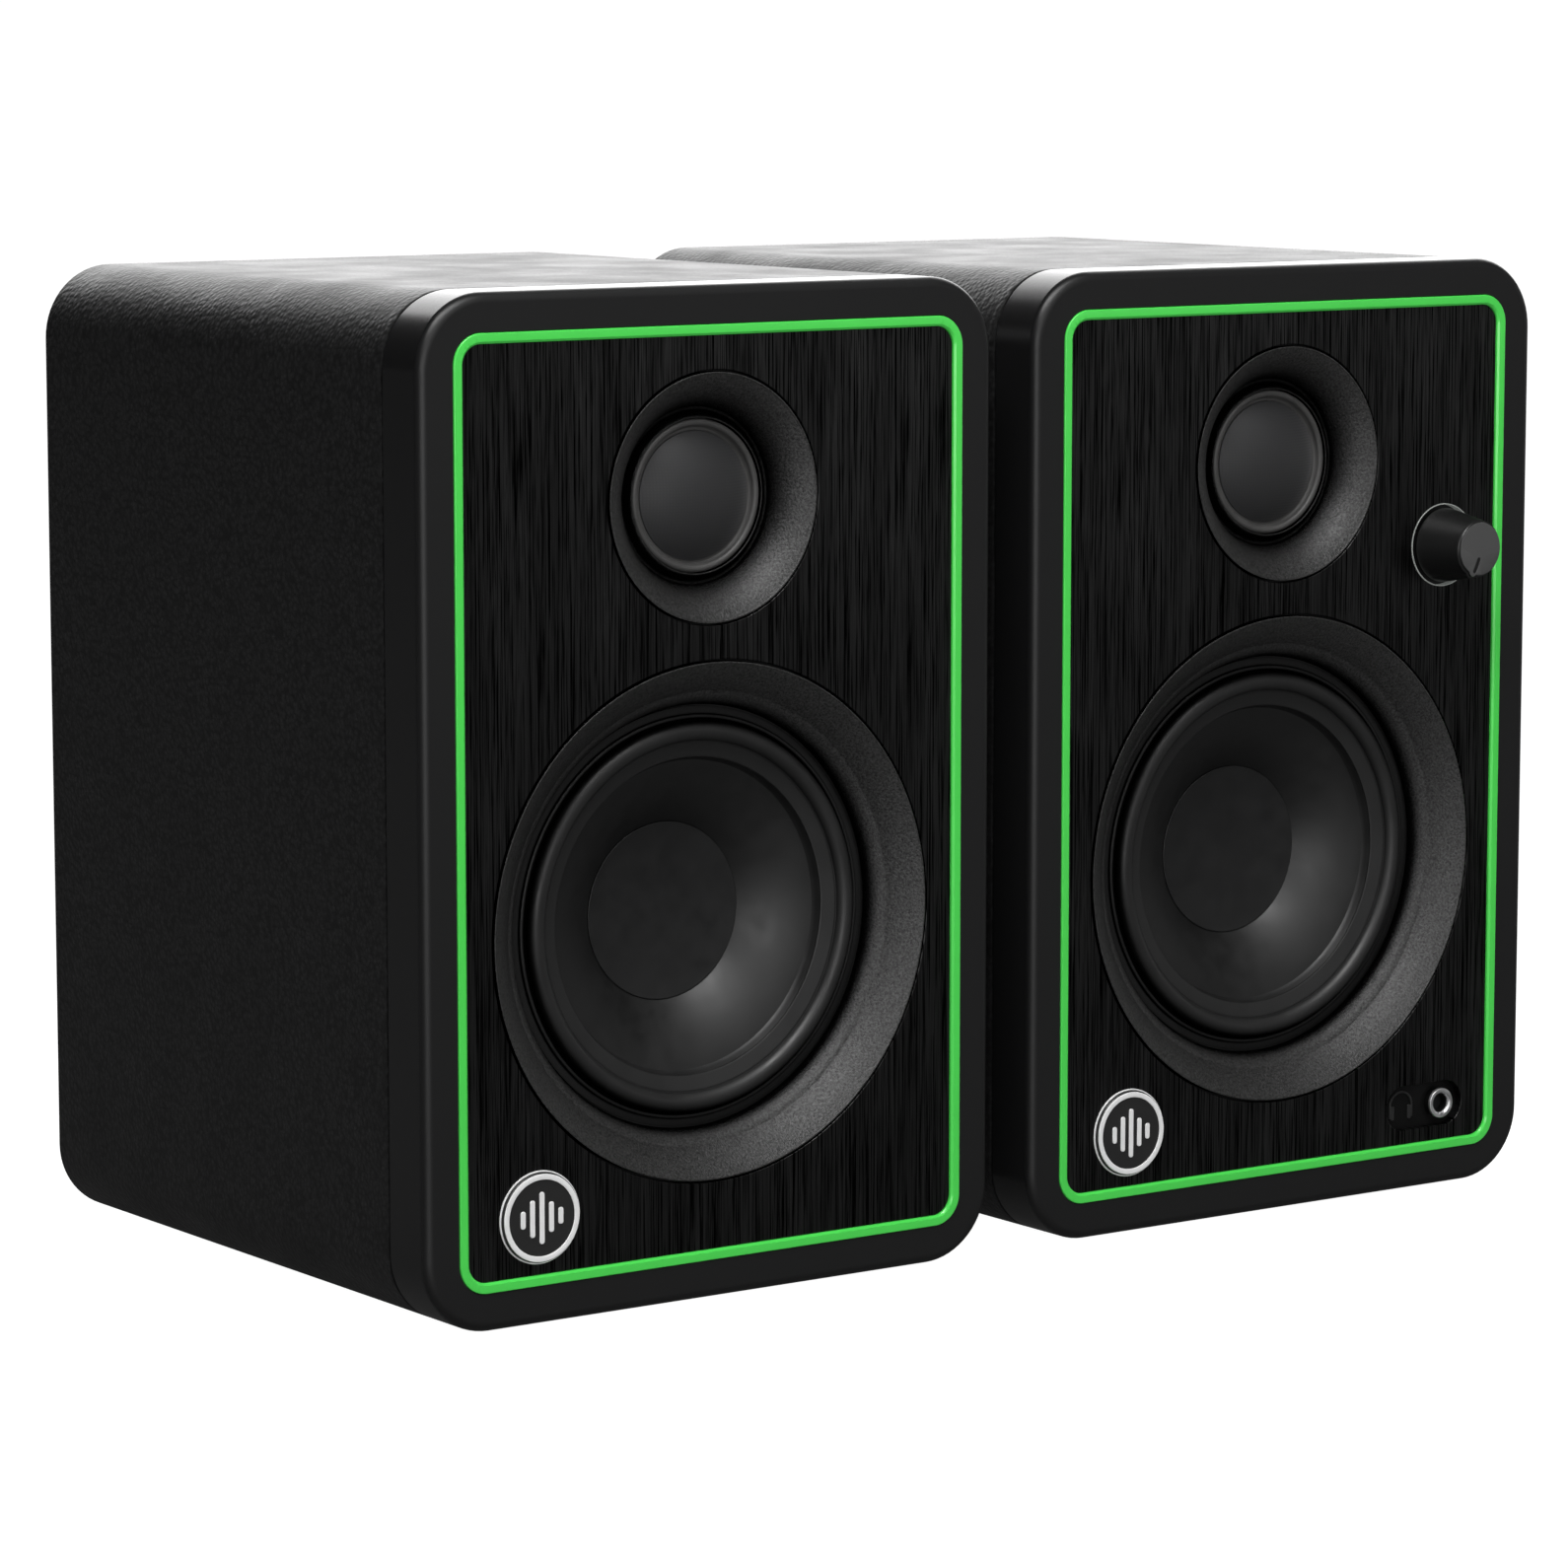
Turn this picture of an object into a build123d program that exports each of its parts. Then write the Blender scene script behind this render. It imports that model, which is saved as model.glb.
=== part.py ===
"""A pair of two-way desktop speakers: a powered right speaker and a passive left one.

Each speaker is drawn in its own frame, in millimetres: X is 0 on its centre line, Y is 0 on the
face of the front bezel and grows backwards, and Z is 0 under the cabinet. place() then moves each
finished piece into the pair's frame, whose origin is on the desk, under the middle of the pair.
Drivers and other round pieces are outlines of (radius, y) points turned about an axis along Y.
"""

from build123d import *
import math
import os

# ------------------------------------------------------------------ driving dimensions
CABINET_WIDTH = 140.0
CABINET_HEIGHT = 207.0
CABINET_DEPTH = 152.0
CORNER_RADIUS = 15.5
SPEAKER_GAP = 11.0
WALL = 9.0
BEZEL_DEPTH = 13.4
BEZEL_FILLET = 2.1
PARTING_GAP = 0.7
TRIM_MARGIN = 8.0
TRIM_WIDTH = 2.15
TRIM_RADIUS = 6.3
FOOT_HEIGHT = 2.0
FOOT_RADIUS = 6.0
WOOFER_Z = 77.7
WOOFER_OPENING = 53.7
TWEETER_Z = 164.1
TWEETER_OPENING = 25.8
BADGE_X = -42.9
BADGE_Z = 21.9
BADGE_RADIUS = 9.2
KNOB_X = 45.1
KNOB_Z = 144.1
KNOB_BASE_RADIUS = 8.2
KNOB_FACE_RADIUS = 6.0
KNOB_FACE_Y = -11.7
JACK_X = 46.9
JACK_Z = 18.4
JACK_BORE_RADIUS = 1.8
PILL_X = 41.9
PILL_LENGTH = 22.3
PILL_HEIGHT = 10.0
PORT_Z = 165.0

# ------------------------------------------------------------------ sizes worked out from them
MIDDLE_Z = CABINET_HEIGHT / 2
SPEAKER_X = (CABINET_WIDTH + SPEAKER_GAP) / 2
FIT = 0.05
TOUCH = 0.02
RUNNING = 0.05

TRIM_OUT_W = CABINET_WIDTH - 2 * TRIM_MARGIN
TRIM_OUT_H = CABINET_HEIGHT - 2 * TRIM_MARGIN
TRIM_FRONT = -0.3
PANEL_FRONT = 0.5
PANEL_BACK = 2.5
POCKET_BACK = PANEL_BACK + FIT
BAFFLE_BACK = POCKET_BACK + 4.0
LIP_LENGTH = 4.0
LIP_THICKNESS = 2.4
CAVITY_RADIUS = CORNER_RADIUS - WALL

WOOFER_BORE = WOOFER_OPENING - 0.4
WOOFER_FLARE_RADIUS = WOOFER_BORE - 0.1
WOOFER_LEDGE_FRONT = 11.9
WOOFER_LEDGE_BACK = 18.0
WOOFER_LEDGE_RADIUS = 46.5
BASKET_FLANGE_FRONT = 10.2
BASKET_FLANGE_BACK = WOOFER_LEDGE_FRONT - TOUCH
TWEETER_BORE = TWEETER_OPENING - 0.35
TWEETER_FLARE_RADIUS = TWEETER_BORE - 0.1
TWEETER_LEDGE_FRONT = 11.45
TWEETER_LEDGE_BACK = 16.0
TWEETER_LEDGE_RADIUS = 21.0
COLLAR_WALL = 3.7

COIL_RADIUS = 12.75
TOP_PLATE_FRONT = 38.3
TOP_PLATE_BACK = 42.3
MAGNET_BACK = 54.3
YOKE_BACK = 58.3
POLE_RADIUS = 12.4
GAP_RADIUS = 13.9

SCREW_HEAD_RADIUS = 2.4
SCREW_HEAD = 1.3
SCREW_SHANK_RADIUS = 1.3
SCREW_LENGTH = 8.0
SCREW_CLEARANCE = 1.5
WOOFER_SCREW_CIRCLE = 48.2

PLATE_FRONT = CABINET_DEPTH
AMP_PLATE_BACK = PLATE_FRONT + 2.0
AMP_PLATE_SIZE = 112.0
AMP_PLATE_Z = 70.0
AMP_OPENING = 96.0
TERMINAL_PLATE_WIDTH = 66.0
TERMINAL_PLATE_HEIGHT = 54.0
TERMINAL_PLATE_Z = 45.0
PLATE_RADIUS = 4.0
SCREW_INSET = 4.5

CLIP_SPACING = 15.0
CLIP_POCKET_WIDTH = 10.0
CLIP_POCKET_DEPTH = 13.0
CLIP_PIVOT_DEPTH = 3.6
CLIP_PIN_RADIUS = 1.2
CLIP_LEVER_WIDTH = 9.2
CLIP_LEVER_LENGTH = 13.0
CLIP_LEVER_HALF = 2.2
CLIP_WALL = 2.5
AMP_CLIP = (26.0, 96.0)
TERMINAL_CLIP = (0.0, 47.0)

PHONO_X = -34.0
PHONO_SPACING = 18.0
PHONO_Z = 96.0
PHONO_RADIUS = 4.15
PHONO_LENGTH = 9.0
PHONO_PIN_HOLE = 1.6
PHONO_CONTACT_HOLE = 1.5
INLET_X = -26.0
INLET_Z = 36.0
SWITCH_X = 27.0
SWITCH_Z = 44.0
SWITCH_TRAVEL = 4.0

POT_BUSH_RADIUS = 3.5
POT_SHAFT_RADIUS = 2.8
KNOB_RING_RADIUS = 9.15
JACK_BUSH_RADIUS = 3.0
JACK_NUT_RADIUS = 3.5
JACK_FACE_Y = 0.2

REAR_Y = AMP_PLATE_BACK + 1.0 + PHONO_LENGTH
PAIR_Y = -(KNOB_FACE_Y + REAR_Y) / 2


# ------------------------------------------------------------------ building blocks
def slab(outline, front, back):
    """Stand an XZ outline up as a block from y = front to y = back."""
    return Pos(0, front, 0) * extrude(Plane.XZ * outline, amount=front - back)


def rounded(width, height, radius, x=0.0, z=MIDDLE_Z):
    """Rounded-rectangle outline in the XZ plane."""
    return Pos(x, z) * RectangleRounded(width, height, radius)


def box(x, front, back, z, width, height):
    """Plain block given by its middle in X and Z and its faces in Y."""
    return slab(Pos(x, z) * Rectangle(width, height), front, back)


def disc(x, z, radius, front, back):
    """Round block with its axis along Y."""
    return slab(Pos(x, z) * Circle(radius), front, back)


def turned(edges, x=0.0, z=0.0):
    """Turn a closed outline of edges in (radius, y) about an axis along Y."""
    return Pos(x, 0, z) * revolve(make_face(edges), Axis.Y)


def chain(*points):
    """Straight edges through a run of points."""
    return [Line(a, b) for a, b in zip(points, points[1:])]


def crown(apex_y, rim):
    """Arc from a round cap's apex on the axis out to its rim, square to the axis at the apex."""
    rise = rim[1] - apex_y
    radius = (rim[0] ** 2 + rise**2) / (2 * rise)
    half_angle = math.asin(rim[0] / radius) / 2
    middle = (radius * math.sin(half_angle), apex_y + radius * (1 - math.cos(half_angle)))
    return ThreePointArc((0, apex_y), middle, rim)


def bowed(start, end, bow):
    """Arc between two points whose middle stands off the chord by bow, to the chord's left."""
    across = (end[0] - start[0], end[1] - start[1])
    length = math.hypot(*across)
    middle = (
        (start[0] + end[0]) / 2 - across[1] / length * bow,
        (start[1] + end[1]) / 2 + across[0] / length * bow,
    )
    return ThreePointArc(start, middle, end)


def around(radius, count, first_angle, x=0.0, z=0.0):
    """Centres of count features on a circle about (x, z)."""
    angles = [math.radians(first_angle + 360 * i / count) for i in range(count)]
    return [(x + radius * math.cos(a), z + radius * math.sin(a)) for a in angles]


def place(piece, side):
    """Move a piece from its speaker's frame into the pair's frame."""
    return Pos(side * SPEAKER_X, PAIR_Y, FOOT_HEIGHT) * piece


# ------------------------------------------------------------------ cabinet and front
def woofer_screw_points():
    """Four screws through the basket flange."""
    return around(WOOFER_SCREW_CIRCLE, 4, 45, 0, WOOFER_Z)


def plate_screw_points(width, height, z, across):
    """Screws in a rear plate: its corners, and a middle pair on each side if across is 3."""
    half_w = width / 2 - SCREW_INSET
    half_h = height / 2 - SCREW_INSET
    steps = [-1 + 2 * i / (across - 1) for i in range(across)]
    points = [(half_w * i, z + half_h * j) for i in steps for j in steps]
    return [p for p in points if abs(p[0]) > half_w - 1 or abs(p[1] - z) > half_h - 1]


def cabinet(opening_width, opening_height, opening_z, screws):
    """Wooden box open at the front, with the port hole and a plate opening in its back."""
    front = BEZEL_DEPTH + PARTING_GAP
    shell = slab(rounded(CABINET_WIDTH, CABINET_HEIGHT, CORNER_RADIUS), front, CABINET_DEPTH)
    inside = rounded(CABINET_WIDTH - 2 * WALL, CABINET_HEIGHT - 2 * WALL, CAVITY_RADIUS)
    shell -= slab(inside, front - 1, CABINET_DEPTH - WALL)
    shell -= disc(0, PORT_Z, 17 + FIT, CABINET_DEPTH - WALL - 1, CABINET_DEPTH + 1)
    shell -= box(0, CABINET_DEPTH - WALL - 1, CABINET_DEPTH + 1, opening_z, opening_width, opening_height)
    for x, z in screws:
        shell -= disc(x, z, SCREW_SHANK_RADIUS + TOUCH, CABINET_DEPTH - SCREW_LENGTH, CABINET_DEPTH + 1)
    return shell


def front_bezel(powered):
    """Moulded front frame that holds the trim, the panel and both drivers."""
    block = slab(rounded(CABINET_WIDTH, CABINET_HEIGHT, CORNER_RADIUS), 0, BEZEL_DEPTH)
    front_edges = block.faces().sort_by(Axis.Y)[0].outer_wire().edges()
    block = fillet(front_edges, BEZEL_FILLET)
    lip_out = WALL + 2 * FIT
    lip_in = lip_out + LIP_THICKNESS
    lip = rounded(CABINET_WIDTH - 2 * lip_out, CABINET_HEIGHT - 2 * lip_out, CAVITY_RADIUS - 2 * FIT)
    block += slab(lip, BEZEL_DEPTH, BEZEL_DEPTH + LIP_LENGTH)
    hollow = rounded(CABINET_WIDTH - 2 * lip_in, CABINET_HEIGHT - 2 * lip_in, CAVITY_RADIUS - LIP_THICKNESS)
    block -= slab(hollow, BAFFLE_BACK, BEZEL_DEPTH + LIP_LENGTH)
    pocket = rounded(TRIM_OUT_W + 2 * FIT, TRIM_OUT_H + 2 * FIT, TRIM_RADIUS + FIT)
    block -= slab(pocket, -1, POCKET_BACK)
    woofer_collar = disc(0, WOOFER_Z, WOOFER_BORE + COLLAR_WALL, BAFFLE_BACK - 1, WOOFER_LEDGE_BACK)
    tweeter_collar = disc(0, TWEETER_Z, TWEETER_BORE + COLLAR_WALL, BAFFLE_BACK - 1, TWEETER_LEDGE_BACK)
    block += woofer_collar
    block += tweeter_collar
    block -= disc(0, WOOFER_Z, WOOFER_BORE, -1, WOOFER_LEDGE_FRONT)
    block -= disc(0, WOOFER_Z, WOOFER_LEDGE_RADIUS, WOOFER_LEDGE_FRONT - 1, WOOFER_LEDGE_BACK + 1)
    block -= disc(0, TWEETER_Z, TWEETER_BORE, -1, TWEETER_LEDGE_FRONT)
    block -= disc(0, TWEETER_Z, TWEETER_LEDGE_RADIUS, TWEETER_LEDGE_FRONT - 1, TWEETER_LEDGE_BACK + 1)
    for x, z in woofer_screw_points():
        block -= disc(x, z, SCREW_SHANK_RADIUS + TOUCH, WOOFER_LEDGE_FRONT - 1, WOOFER_LEDGE_BACK + 1)
    if powered:
        block -= disc(KNOB_X, KNOB_Z, POT_BUSH_RADIUS + FIT, 0, BAFFLE_BACK + 1)
        block -= disc(JACK_X, JACK_Z, JACK_BUSH_RADIUS + FIT, 0, BAFFLE_BACK + 1)
    return block


def trim_ring():
    """Coloured strip let into the bezel around the panel."""
    ring = slab(rounded(TRIM_OUT_W, TRIM_OUT_H, TRIM_RADIUS), TRIM_FRONT, PANEL_BACK)
    ring = fillet(ring.faces().sort_by(Axis.Y)[0].outer_wire().edges(), TRIM_WIDTH / 5)
    inner = rounded(TRIM_OUT_W - 2 * TRIM_WIDTH, TRIM_OUT_H - 2 * TRIM_WIDTH, TRIM_RADIUS - TRIM_WIDTH)
    return ring - slab(inner, TRIM_FRONT - 1, PANEL_BACK + 1)


def front_panel(powered):
    """Thin brushed plate inside the trim, with openings for the drivers and controls."""
    inset = 2 * TRIM_WIDTH + 2 * FIT
    outline = rounded(TRIM_OUT_W - inset, TRIM_OUT_H - inset, TRIM_RADIUS - TRIM_WIDTH - FIT)
    plate = slab(outline, PANEL_FRONT, PANEL_BACK)
    plate -= disc(0, WOOFER_Z, WOOFER_OPENING, 0, PANEL_BACK + 1)
    plate -= disc(0, TWEETER_Z, TWEETER_OPENING, 0, PANEL_BACK + 1)
    if powered:
        plate -= disc(KNOB_X, KNOB_Z, KNOB_RING_RADIUS + FIT, 0, PANEL_BACK + 1)
        pill = rounded(PILL_LENGTH, PILL_HEIGHT, PILL_HEIGHT / 2 - TOUCH, PILL_X, JACK_Z)
        plate -= slab(pill, 0, PANEL_BACK + 1)
    return plate


def badge():
    """Round plate with a raised rim and five plain raised bars."""
    face = PANEL_FRONT - 0.9
    raised = 0.25
    plate = disc(BADGE_X, BADGE_Z, BADGE_RADIUS, face, PANEL_FRONT - TOUCH)
    plate = chamfer(plate.faces().sort_by(Axis.Y)[0].edges(), 0.4)
    rim = disc(BADGE_X, BADGE_Z, BADGE_RADIUS - 0.5, face - raised, face)
    rim -= disc(BADGE_X, BADGE_Z, BADGE_RADIUS - 1.5, face - raised - 1, face + 1)
    plate += rim
    for step, height in enumerate((4.0, 8.0, 11.0, 6.5, 3.5)):
        x = BADGE_X + (step - 2) * 2.3
        plate += box(x, face - raised, face, BADGE_Z, 1.2, height)
    return plate


# ------------------------------------------------------------------ woofer
def woofer_flare():
    """Dished ring between the panel and the surround."""
    lip = (WOOFER_FLARE_RADIUS, 0.3)
    roll = (44.4, 7.4)
    throat = (43.66, 9.5)
    skirt_in = WOOFER_FLARE_RADIUS - 1.8
    foot = BASKET_FLANGE_BACK
    edges = [bowed(lip, roll, 0.6), bowed(roll, throat, 0.19)]
    edges += chain(throat, (45.0, 9.9))
    edges += [bowed((45.0, 9.9), (skirt_in, 4.6), -1.2)]
    edges += chain((skirt_in, 4.6), (skirt_in, foot), (WOOFER_FLARE_RADIUS, foot), lip)
    return turned(edges, 0, WOOFER_Z)


def woofer_basket():
    """Pressed frame: flange, four spokes, spider ledge and the cup that holds the motor."""
    edges = chain(
        (41.5, BASKET_FLANGE_FRONT),
        (50.0, BASKET_FLANGE_FRONT),
        (50.0, BASKET_FLANGE_BACK),
        (44.5, BASKET_FLANGE_BACK),
        (31.5, 34.4),
        (31.5, TOP_PLATE_FRONT - TOUCH),
        (20.0, TOP_PLATE_FRONT - TOUCH),
        (20.0, 37.0),
        (30.2, 37.0),
        (30.2, 34.2),
        (26.5, 34.2),
        (26.5, 33.0),
        (30.6, 33.0),
        (43.2, 11.8),
        (41.5, 11.8),
        (41.5, BASKET_FLANGE_FRONT),
    )
    frame = turned(edges)
    window = make_face(chain((60, 14.5), (33, 31.5), (25, 31.5), (25, 14.5), (60, 14.5)))
    cutter = revolve(window, Axis.Y, revolution_arc=66)
    for turn in range(4):
        frame -= Rot(0, 90 * turn + 12, 0) * cutter
    for x, z in around(WOOFER_SCREW_CIRCLE, 4, 45):
        frame -= disc(x, z, SCREW_CLEARANCE, 9, 13)
    return Pos(0, 0, WOOFER_Z) * frame


def woofer_surround():
    """Rubber half-roll between the basket and the cone."""
    edges = chain((43.4, 9.6), (40.4, 9.6))
    edges += [ThreePointArc((40.4, 9.6), (38.25, 6.9), (36.1, 9.2))]
    edges += chain((36.1, 9.2), (33.0, 9.2), (33.0, 9.8), (36.6, 9.8))
    edges += [ThreePointArc((36.6, 9.8), (38.25, 7.5), (39.9, 10.15))]
    edges += chain((39.9, 10.15), (43.4, 10.15), (43.4, 9.6))
    return turned(edges, 0, WOOFER_Z)


def woofer_cone():
    """Dished cone with a flat rim under the surround and a neck at the voice coil."""
    edges = chain((36.0, 9.82), (32.9, 9.82), (32.3, 11.4))
    edges += [bowed((32.3, 11.4), (18.0, 20.1), 1.0)]
    edges += chain((18.0, 20.1), (13.1, 24.0), (13.1, 25.0), (18.2, 21.0))
    edges += [bowed((18.2, 21.0), (32.8, 12.4), -1.0)]
    edges += chain((32.8, 12.4), (33.5, 10.5), (36.0, 10.5), (36.0, 9.82))
    return turned(edges, 0, WOOFER_Z)


def woofer_dust_cap():
    """Shallow cap over the middle of the cone."""
    edges = [crown(20.6, (18.5, 19.3))]
    edges += chain((18.5, 19.3), (18.5, 19.5))
    edges += [crown(21.2, (18.5, 19.5))]
    edges += chain((0, 21.2), (0, 20.6))
    return turned(edges, 0, WOOFER_Z)


def woofer_voice_coil():
    """Former tube with its winding in the magnet gap."""
    former = COIL_RADIUS + 0.3
    winding = COIL_RADIUS + 0.75
    edges = chain(
        (COIL_RADIUS, 22.0),
        (former, 22.0),
        (former, 37.3),
        (winding, 37.3),
        (winding, 43.3),
        (former, 43.3),
        (former, 44.0),
        (COIL_RADIUS, 44.0),
        (COIL_RADIUS, 22.0),
    )
    return turned(edges, 0, WOOFER_Z)


def woofer_spider():
    """Corrugated disc that centres the voice coil."""
    inner = COIL_RADIUS + 0.35
    outer = 30.0
    waves_end = 26.0
    ripple = 0.9
    waves = 4
    thickness = 0.5
    middle_y = 32.0
    steps = waves * 4
    crest = [
        (inner + (waves_end - inner) * i / steps, middle_y + ripple * math.sin(math.pi * i / 2))
        for i in range(steps + 1)
    ]
    crest.append((outer, middle_y))
    back = [(r, y + thickness) for r, y in reversed(crest)]
    return turned(chain(*crest, *back, crest[0]), 0, WOOFER_Z)


def woofer_magnet():
    """Ferrite ring between the top plate and the yoke."""
    ring = disc(0, WOOFER_Z, 34, TOP_PLATE_BACK + TOUCH, MAGNET_BACK - TOUCH)
    return ring - disc(0, WOOFER_Z, 18, TOP_PLATE_BACK - 1, MAGNET_BACK + 1)


def woofer_pole_pieces():
    """Steel top plate, and the yoke with its pole."""
    top_plate = disc(0, WOOFER_Z, 31, TOP_PLATE_FRONT, TOP_PLATE_BACK)
    top_plate -= disc(0, WOOFER_Z, GAP_RADIUS, TOP_PLATE_FRONT - 1, TOP_PLATE_BACK + 1)
    yoke = disc(0, WOOFER_Z, 31, MAGNET_BACK, YOKE_BACK)
    yoke += disc(0, WOOFER_Z, POLE_RADIUS, TOP_PLATE_FRONT, MAGNET_BACK + 1)
    return Compound([top_plate.solid(), yoke.solid()])


# ------------------------------------------------------------------ tweeter
def tweeter_flare():
    """Dished ring with a raised collar around the dome."""
    lip = (TWEETER_FLARE_RADIUS, 0.3)
    foot = 8.75
    skirt_in = TWEETER_FLARE_RADIUS - 1.65
    edges = [bowed(lip, (17.9, 7.9), 1.0)]
    edges += chain((17.9, 7.9), (17.4, 7.9), (16.1, 6.6), (15.7, 6.5), (15.7, 8.35), (19.0, 8.35))
    edges += [bowed((19.0, 8.35), (skirt_in, 4.4), -0.5)]
    edges += chain((skirt_in, 4.4), (skirt_in, foot), (TWEETER_FLARE_RADIUS, foot), lip)
    return turned(edges, 0, TWEETER_Z)


def tweeter_dome():
    """Soft dome on its coil former."""
    base = 7.9
    edges = [crown(3.6, (13.2, base))]
    edges += chain((13.2, base), (13.2, 12.5), (12.9, 12.5), (12.9, base + 0.3))
    edges += [crown(4.0, (12.9, base + 0.3))]
    edges += chain((0, 4.0), (0, 3.6))
    return turned(edges, 0, TWEETER_Z)


def tweeter_surround():
    """Small half-roll between the collar and the dome."""
    edges = chain((17.0, 8.4), (15.5, 8.4))
    edges += [ThreePointArc((15.5, 8.4), (14.4, 6.7), (13.25, 7.9))]
    edges += chain((13.25, 7.9), (13.25, 8.3))
    edges += [ThreePointArc((13.25, 8.3), (14.35, 7.05), (15.2, 8.75))]
    edges += chain((15.2, 8.75), (17.0, 8.75), (17.0, 8.4))
    return turned(edges, 0, TWEETER_Z)


def tweeter_motor():
    """Front plate, magnet cup and pole, bonded into one closed unit."""
    flange_back = TWEETER_LEDGE_FRONT - FIT
    edges = chain(
        (13.6, 8.8),
        (TWEETER_FLARE_RADIUS, 8.8),
        (TWEETER_FLARE_RADIUS, flange_back),
        (20.0, flange_back),
        (20.0, 26.0),
        (0, 26.0),
        (0, 9.2),
        (12.6, 9.2),
        (12.6, 16.0),
        (13.6, 16.0),
        (13.6, 8.8),
    )
    return turned(edges, 0, TWEETER_Z)


# ------------------------------------------------------------------ rear pieces of both speakers
def port_tube():
    """Bass-reflex tube with a flared mouth on the rear face."""
    bore = 15.0
    outside = 17.0
    edges = chain(
        (bore, 82.0),
        (outside, 82.0),
        (outside, CABINET_DEPTH + TOUCH),
        (26.0, CABINET_DEPTH + TOUCH),
        (26.0, CABINET_DEPTH + 1.2),
        (24.8, CABINET_DEPTH + 2.0),
        (22.5, CABINET_DEPTH + 2.0),
    )
    edges += [bowed((22.5, CABINET_DEPTH + 2.0), (bore, CABINET_DEPTH - 6.5), -2.0)]
    edges += chain((bore, CABINET_DEPTH - 6.5), (bore, 82.0))
    return turned(edges, 0, PORT_Z)


def feet():
    """Four round pads under the cabinet."""
    pads = []
    for x in (-39.0, 39.0):
        for y in (24.0, CABINET_DEPTH - 18.0):
            pads.append((Pos(x, y, -FOOT_HEIGHT / 2) * Cylinder(FOOT_RADIUS, FOOT_HEIGHT)).solid())
    return Compound(pads)


def screw(x, z, seat_y, way):
    """Cross-recessed pan-head screw seated at y = seat_y, its shank running along Y by way."""
    outline = chain(
        (0, -SCREW_HEAD),
        (SCREW_HEAD_RADIUS - 0.7, -SCREW_HEAD),
        (SCREW_HEAD_RADIUS, -TOUCH),
        (SCREW_SHANK_RADIUS, -TOUCH),
        (SCREW_SHANK_RADIUS, SCREW_LENGTH - 1.5),
        (0, SCREW_LENGTH),
        (0, -SCREW_HEAD),
    )
    body = revolve(make_face(outline), Axis.Y)
    for turn in (0, 90):
        body -= Rot(0, turn, 0) * Pos(0, -SCREW_HEAD, 0) * Box(2.6, 1.2, 0.6)
    if way < 0:
        body = Rot(180, 0, 0) * body
    return (Pos(x, seat_y, z) * body).solid()


def screws(rear_points, rear_face):
    """The basket screws and the rear plate screws of one speaker."""
    group = [screw(x, z, BASKET_FLANGE_FRONT, 1) for x, z in woofer_screw_points()]
    group += [screw(x, z, rear_face, -1) for x, z in rear_points]
    return Compound(group)


def clip_centres(clip):
    """X of the red and the black lever of a terminal block."""
    return clip[0] - CLIP_SPACING / 2, clip[0] + CLIP_SPACING / 2


def with_clip_housing(plate, clip, face):
    """Add the two-lever terminal housing to a rear plate and cut its pockets."""
    x, z = clip
    width = CLIP_SPACING + CLIP_POCKET_WIDTH + 2 * CLIP_WALL
    height = CLIP_LEVER_LENGTH + 5.0
    middle = z - CLIP_LEVER_LENGTH / 2 + 0.5
    plate += box(x, face - CLIP_POCKET_DEPTH - CLIP_WALL, face, middle, width, height + 2 * CLIP_WALL)
    for centre in clip_centres(clip):
        plate -= box(centre, face - CLIP_POCKET_DEPTH, face + 1, middle, CLIP_POCKET_WIDTH, height)
        bearing = Pos(centre, face - CLIP_PIVOT_DEPTH, z) * Rot(0, 90, 0)
        plate -= bearing * Cylinder(CLIP_PIN_RADIUS + RUNNING, CLIP_POCKET_WIDTH + 3.0)
    return plate


def clip_lever(centre, clip, face):
    """Spring-terminal lever: a plate with a finger tab, turning on two side pins."""
    half = CLIP_LEVER_HALF
    length = CLIP_LEVER_LENGTH
    tab_top = length - 5.0
    tab_out = half + 4.4
    profile = Circle(half)
    profile += make_face(
        chain((-half, 0), (half, 0), (half, -tab_top), (tab_out, -tab_top - 0.8), (tab_out, -length),
              (-half, -length), (-half, 0))
    )
    lever = extrude(Plane.YZ * profile, amount=CLIP_LEVER_WIDTH / 2, both=True)
    lever += Rot(0, 90, 0) * Cylinder(CLIP_PIN_RADIUS, CLIP_POCKET_WIDTH + 2.6)
    return Pos(centre, face - CLIP_PIVOT_DEPTH, clip[1]) * lever


# ------------------------------------------------------------------ left speaker only
def terminal_plate():
    """Moulded plate with the spring terminals of the passive speaker."""
    face = PLATE_FRONT + 2.0
    outline = rounded(TERMINAL_PLATE_WIDTH, TERMINAL_PLATE_HEIGHT, PLATE_RADIUS, 0, TERMINAL_PLATE_Z)
    plate = slab(outline, PLATE_FRONT + TOUCH, face)
    plate = chamfer(plate.faces().sort_by(Axis.Y)[-1].outer_wire().edges(), 0.6)
    plate = with_clip_housing(plate, TERMINAL_CLIP, face)
    for x, z in terminal_screw_points():
        plate -= disc(x, z, SCREW_CLEARANCE, PLATE_FRONT - 1, face + 1)
    return plate


def terminal_screw_points():
    """Four corner screws of the terminal plate."""
    return plate_screw_points(TERMINAL_PLATE_WIDTH, TERMINAL_PLATE_HEIGHT, TERMINAL_PLATE_Z, 2)


def crossover():
    """Small board on the cabinet floor with the tweeter's capacitor and coil."""
    board = Pos(-20, 100, WALL + 4.8) * Box(46, 34, 1.6)
    board += Pos(-30, 100, WALL + 5.6 + 5.5) * Rot(90, 0, 0) * Cylinder(5.5, 26)
    board += Pos(-10, 100, WALL + 5.6 + 5) * (Cylinder(9, 10) - Cylinder(4, 10))
    for x in (-38, -2):
        board += Pos(x, 100, WALL + 2 + TOUCH / 2) * Box(6, 6, 4 - TOUCH)
    return board


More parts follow.
